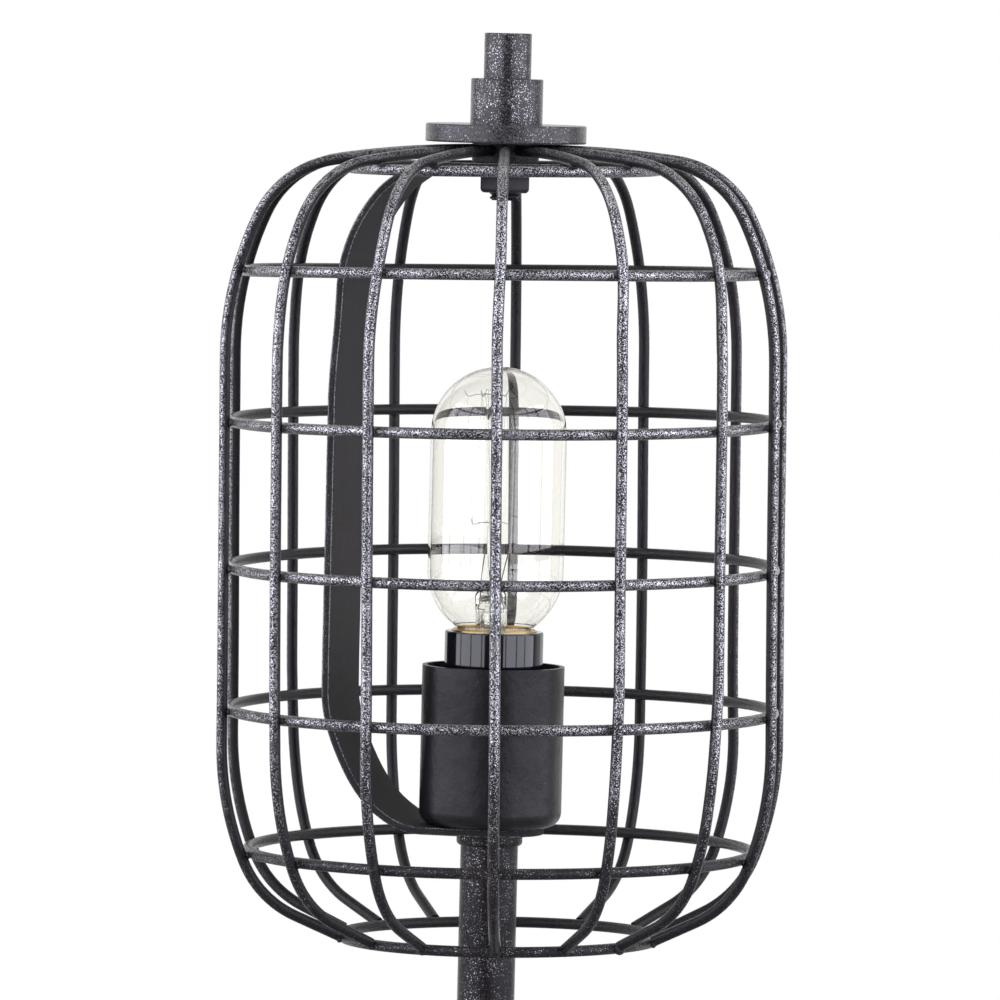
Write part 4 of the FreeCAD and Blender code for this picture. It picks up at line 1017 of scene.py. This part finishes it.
def painted_floor():
    """A grey painted floor that keeps the lamp's shadow and melts into the white room at its edge."""
    material = new_material("grey_painted_floor")
    place = add_node(material, "TexCoord")
    cloud = add_node(material, "TexNoise", {"Scale": scale_for(FLOOR_GRAIN_MM), "Detail": 2.0},
                     {"Vector": place.outputs["Object"]})
    gloss = add_node(material, "MapRange", {"To Min": 0.5, "To Max": 0.6}, {"Value": cloud.outputs["Fac"]})
    paint = add_node(material, "BsdfPrincipled", {"Base Color": linear(FLOOR_GREY)},
                     {"Roughness": gloss.outputs["Result"]})
    white = add_node(material, "Emission", {"Color": (1, 1, 1, 1), "Strength": 1.0})
    reach = add_node(material, "VectorMath", {"operation": "LENGTH"}, {0: place.outputs["Object"]})
    edge = add_node(material, "MapRange", {"interpolation_type": "SMOOTHSTEP",
                                           "From Min": FLOOR_FADE[0] * FLOOR_RADIUS,
                                           "From Max": FLOOR_FADE[1] * FLOOR_RADIUS},
                    {"Value": reach.outputs["Value"]})
    bearing = add_node(material, "VectorMath", {"operation": "NORMALIZE"}, {0: place.outputs["Object"]})
    behind = add_node(material, "VectorMath", {"operation": "DOT_PRODUCT", 1: -from_camera(0, 1, 0)},
                      {0: bearing.outputs["Vector"]})
    far_side = add_node(material, "MapRange", {"From Min": BACKDROP_EDGE[0], "From Max": BACKDROP_EDGE[1]},
                        {"Value": behind.outputs["Value"]})
    ray = add_node(material, "LightPath")
    looked_at = add_node(material, "Math", {"operation": "MAXIMUM"},
                         {0: ray.outputs["Is Camera Ray"], 1: ray.outputs["Is Transmission Ray"]})
    share = add_node(material, "Math", {"operation": "MAXIMUM"},
                     {0: looked_at.outputs["Value"], 1: far_side.outputs["Result"]})
    melted = add_node(material, "Math", {"operation": "MULTIPLY"},
                      {0: edge.outputs["Result"], 1: share.outputs["Value"]})
    shader = add_node(material, "MixShader", links={0: melted.outputs["Value"], 1: paint.outputs["BSDF"],
                                                    2: white.outputs["Emission"]})
    add_node(material, "OutputMaterial", links={"Surface": shader.outputs["Shader"]})
    return material


def unseen_through_glass(light):
    """Keeps a light out of sight through glass as well, and leaves it in all that glass and metal mirror."""
    light.use_nodes = True
    light.node_tree.nodes.clear()
    path = add_node(light, "LightPath")
    unmirrored = add_node(light, "Math", {"operation": "LESS_THAN", 1: 0.5},
                          {0: path.outputs["Glossy Depth"]})
    straight = add_node(light, "Math", {"operation": "MULTIPLY"},
                        {0: path.outputs["Is Transmission Ray"], 1: unmirrored.outputs["Value"]})
    shown = add_node(light, "Math", {"operation": "SUBTRACT", 0: 1.0}, {1: straight.outputs["Value"]})
    glow = add_node(light, "Emission", links={"Strength": shown.outputs["Value"]})
    add_node(light, "OutputLight", links={"Surface": glow.outputs["Emission"]})


floor_work = bmesh.new()
bmesh.ops.create_circle(floor_work, cap_ends=True, segments=FLOOR_SIDES, radius=FLOOR_RADIUS)
as_object(floor_work, "floor", painted_floor())

for name, turn, width in BOXES:
    box_light = bpy.data.lights.new(name, "AREA")
    box_light.shape = "RECTANGLE"
    box_light.size = width
    box_light.size_y = BOX_HEIGHT
    box_light.color = BOX_COLOUR
    box_light.energy = BOX_RADIANCE * math.pi * width * BOX_HEIGHT
    unseen_through_glass(box_light)
    box = bpy.data.objects.new(name, box_light)
    stand = from_camera(turn, BOX_DISTANCE, BOX_BOTTOM + BOX_HEIGHT / 2)
    box.matrix_world = facing(stand, Vector((0, 0, stand.z)))
    box.visible_camera = False
    bpy.context.scene.collection.objects.link(box)

# The camera and glass see white all round. Metal mirrors the backdrop and the ceiling, and the rest is dim.
room = bpy.data.worlds.new("white_room")
room.use_nodes = True
room.node_tree.nodes.clear()
ray = add_node(room, "LightPath")
direction = add_node(room, "TexCoord")
behind = add_node(room, "VectorMath", {"operation": "DOT_PRODUCT", 1: -from_camera(0, 1, 0)},
                  {0: direction.outputs["Generated"]})
backdrop = add_node(room, "MapRange", {"From Min": BACKDROP_EDGE[0], "From Max": BACKDROP_EDGE[1],
                                       "To Min": DARK_SIDE, "To Max": 1.0},
                    {"Value": behind.outputs["Value"]})
upward = add_node(room, "SeparateXYZ", links={0: direction.outputs["Generated"]})
ambient = add_node(room, "MapRange", {"From Min": -0.2, "From Max": 0.3, "To Min": LOW_LIGHT,
                                      "To Max": ROOM_LIGHT}, {"Value": upward.outputs["Z"]})
ceiling = add_node(room, "MapRange", {"From Min": 0.5, "From Max": 0.85, "To Max": CEILING},
                   {"Value": upward.outputs["Z"]})
around_lamp = add_node(room, "Math", {"operation": "MAXIMUM"},
                       {0: backdrop.outputs["Result"], 1: ceiling.outputs["Result"]})
mirrored = add_node(room, "Mix", links={0: ray.outputs["Is Glossy Ray"], 2: ambient.outputs["Result"],
                                        3: around_lamp.outputs["Value"]})
seen = add_node(room, "Math", {"operation": "MAXIMUM"},
                {0: ray.outputs["Is Camera Ray"], 1: ray.outputs["Is Transmission Ray"]})
strength = add_node(room, "Mix", {3: 1.0}, {0: seen.outputs["Value"], 2: mirrored.outputs[0]})
sky = add_node(room, "Background", {"Color": (1, 1, 1, 1)}, {"Strength": strength.outputs[0]})
add_node(room, "OutputWorld", links={"Surface": sky.outputs["Background"]})
bpy.context.scene.world = room
bpy.context.scene.view_settings.view_transform = "Standard"

camera_data = bpy.data.cameras.new("camera")
camera_data.lens = CAMERA_LENS
camera_data.clip_end = 20
camera = bpy.data.objects.new("camera", camera_data)
step_aside = Vector((math.cos(CAMERA_AZIMUTH), math.sin(CAMERA_AZIMUTH), 0)) * CAMERA_SIDE
camera.matrix_world = facing(from_camera(0, CAMERA_DISTANCE, CAMERA_HEIGHT) + step_aside,
                             Vector((0, 0, CAMERA_AIM)) + step_aside) @ Matrix.Rotation(CAMERA_ROLL, 4, "Z")
bpy.context.scene.collection.objects.link(camera)
bpy.context.scene.camera = camera
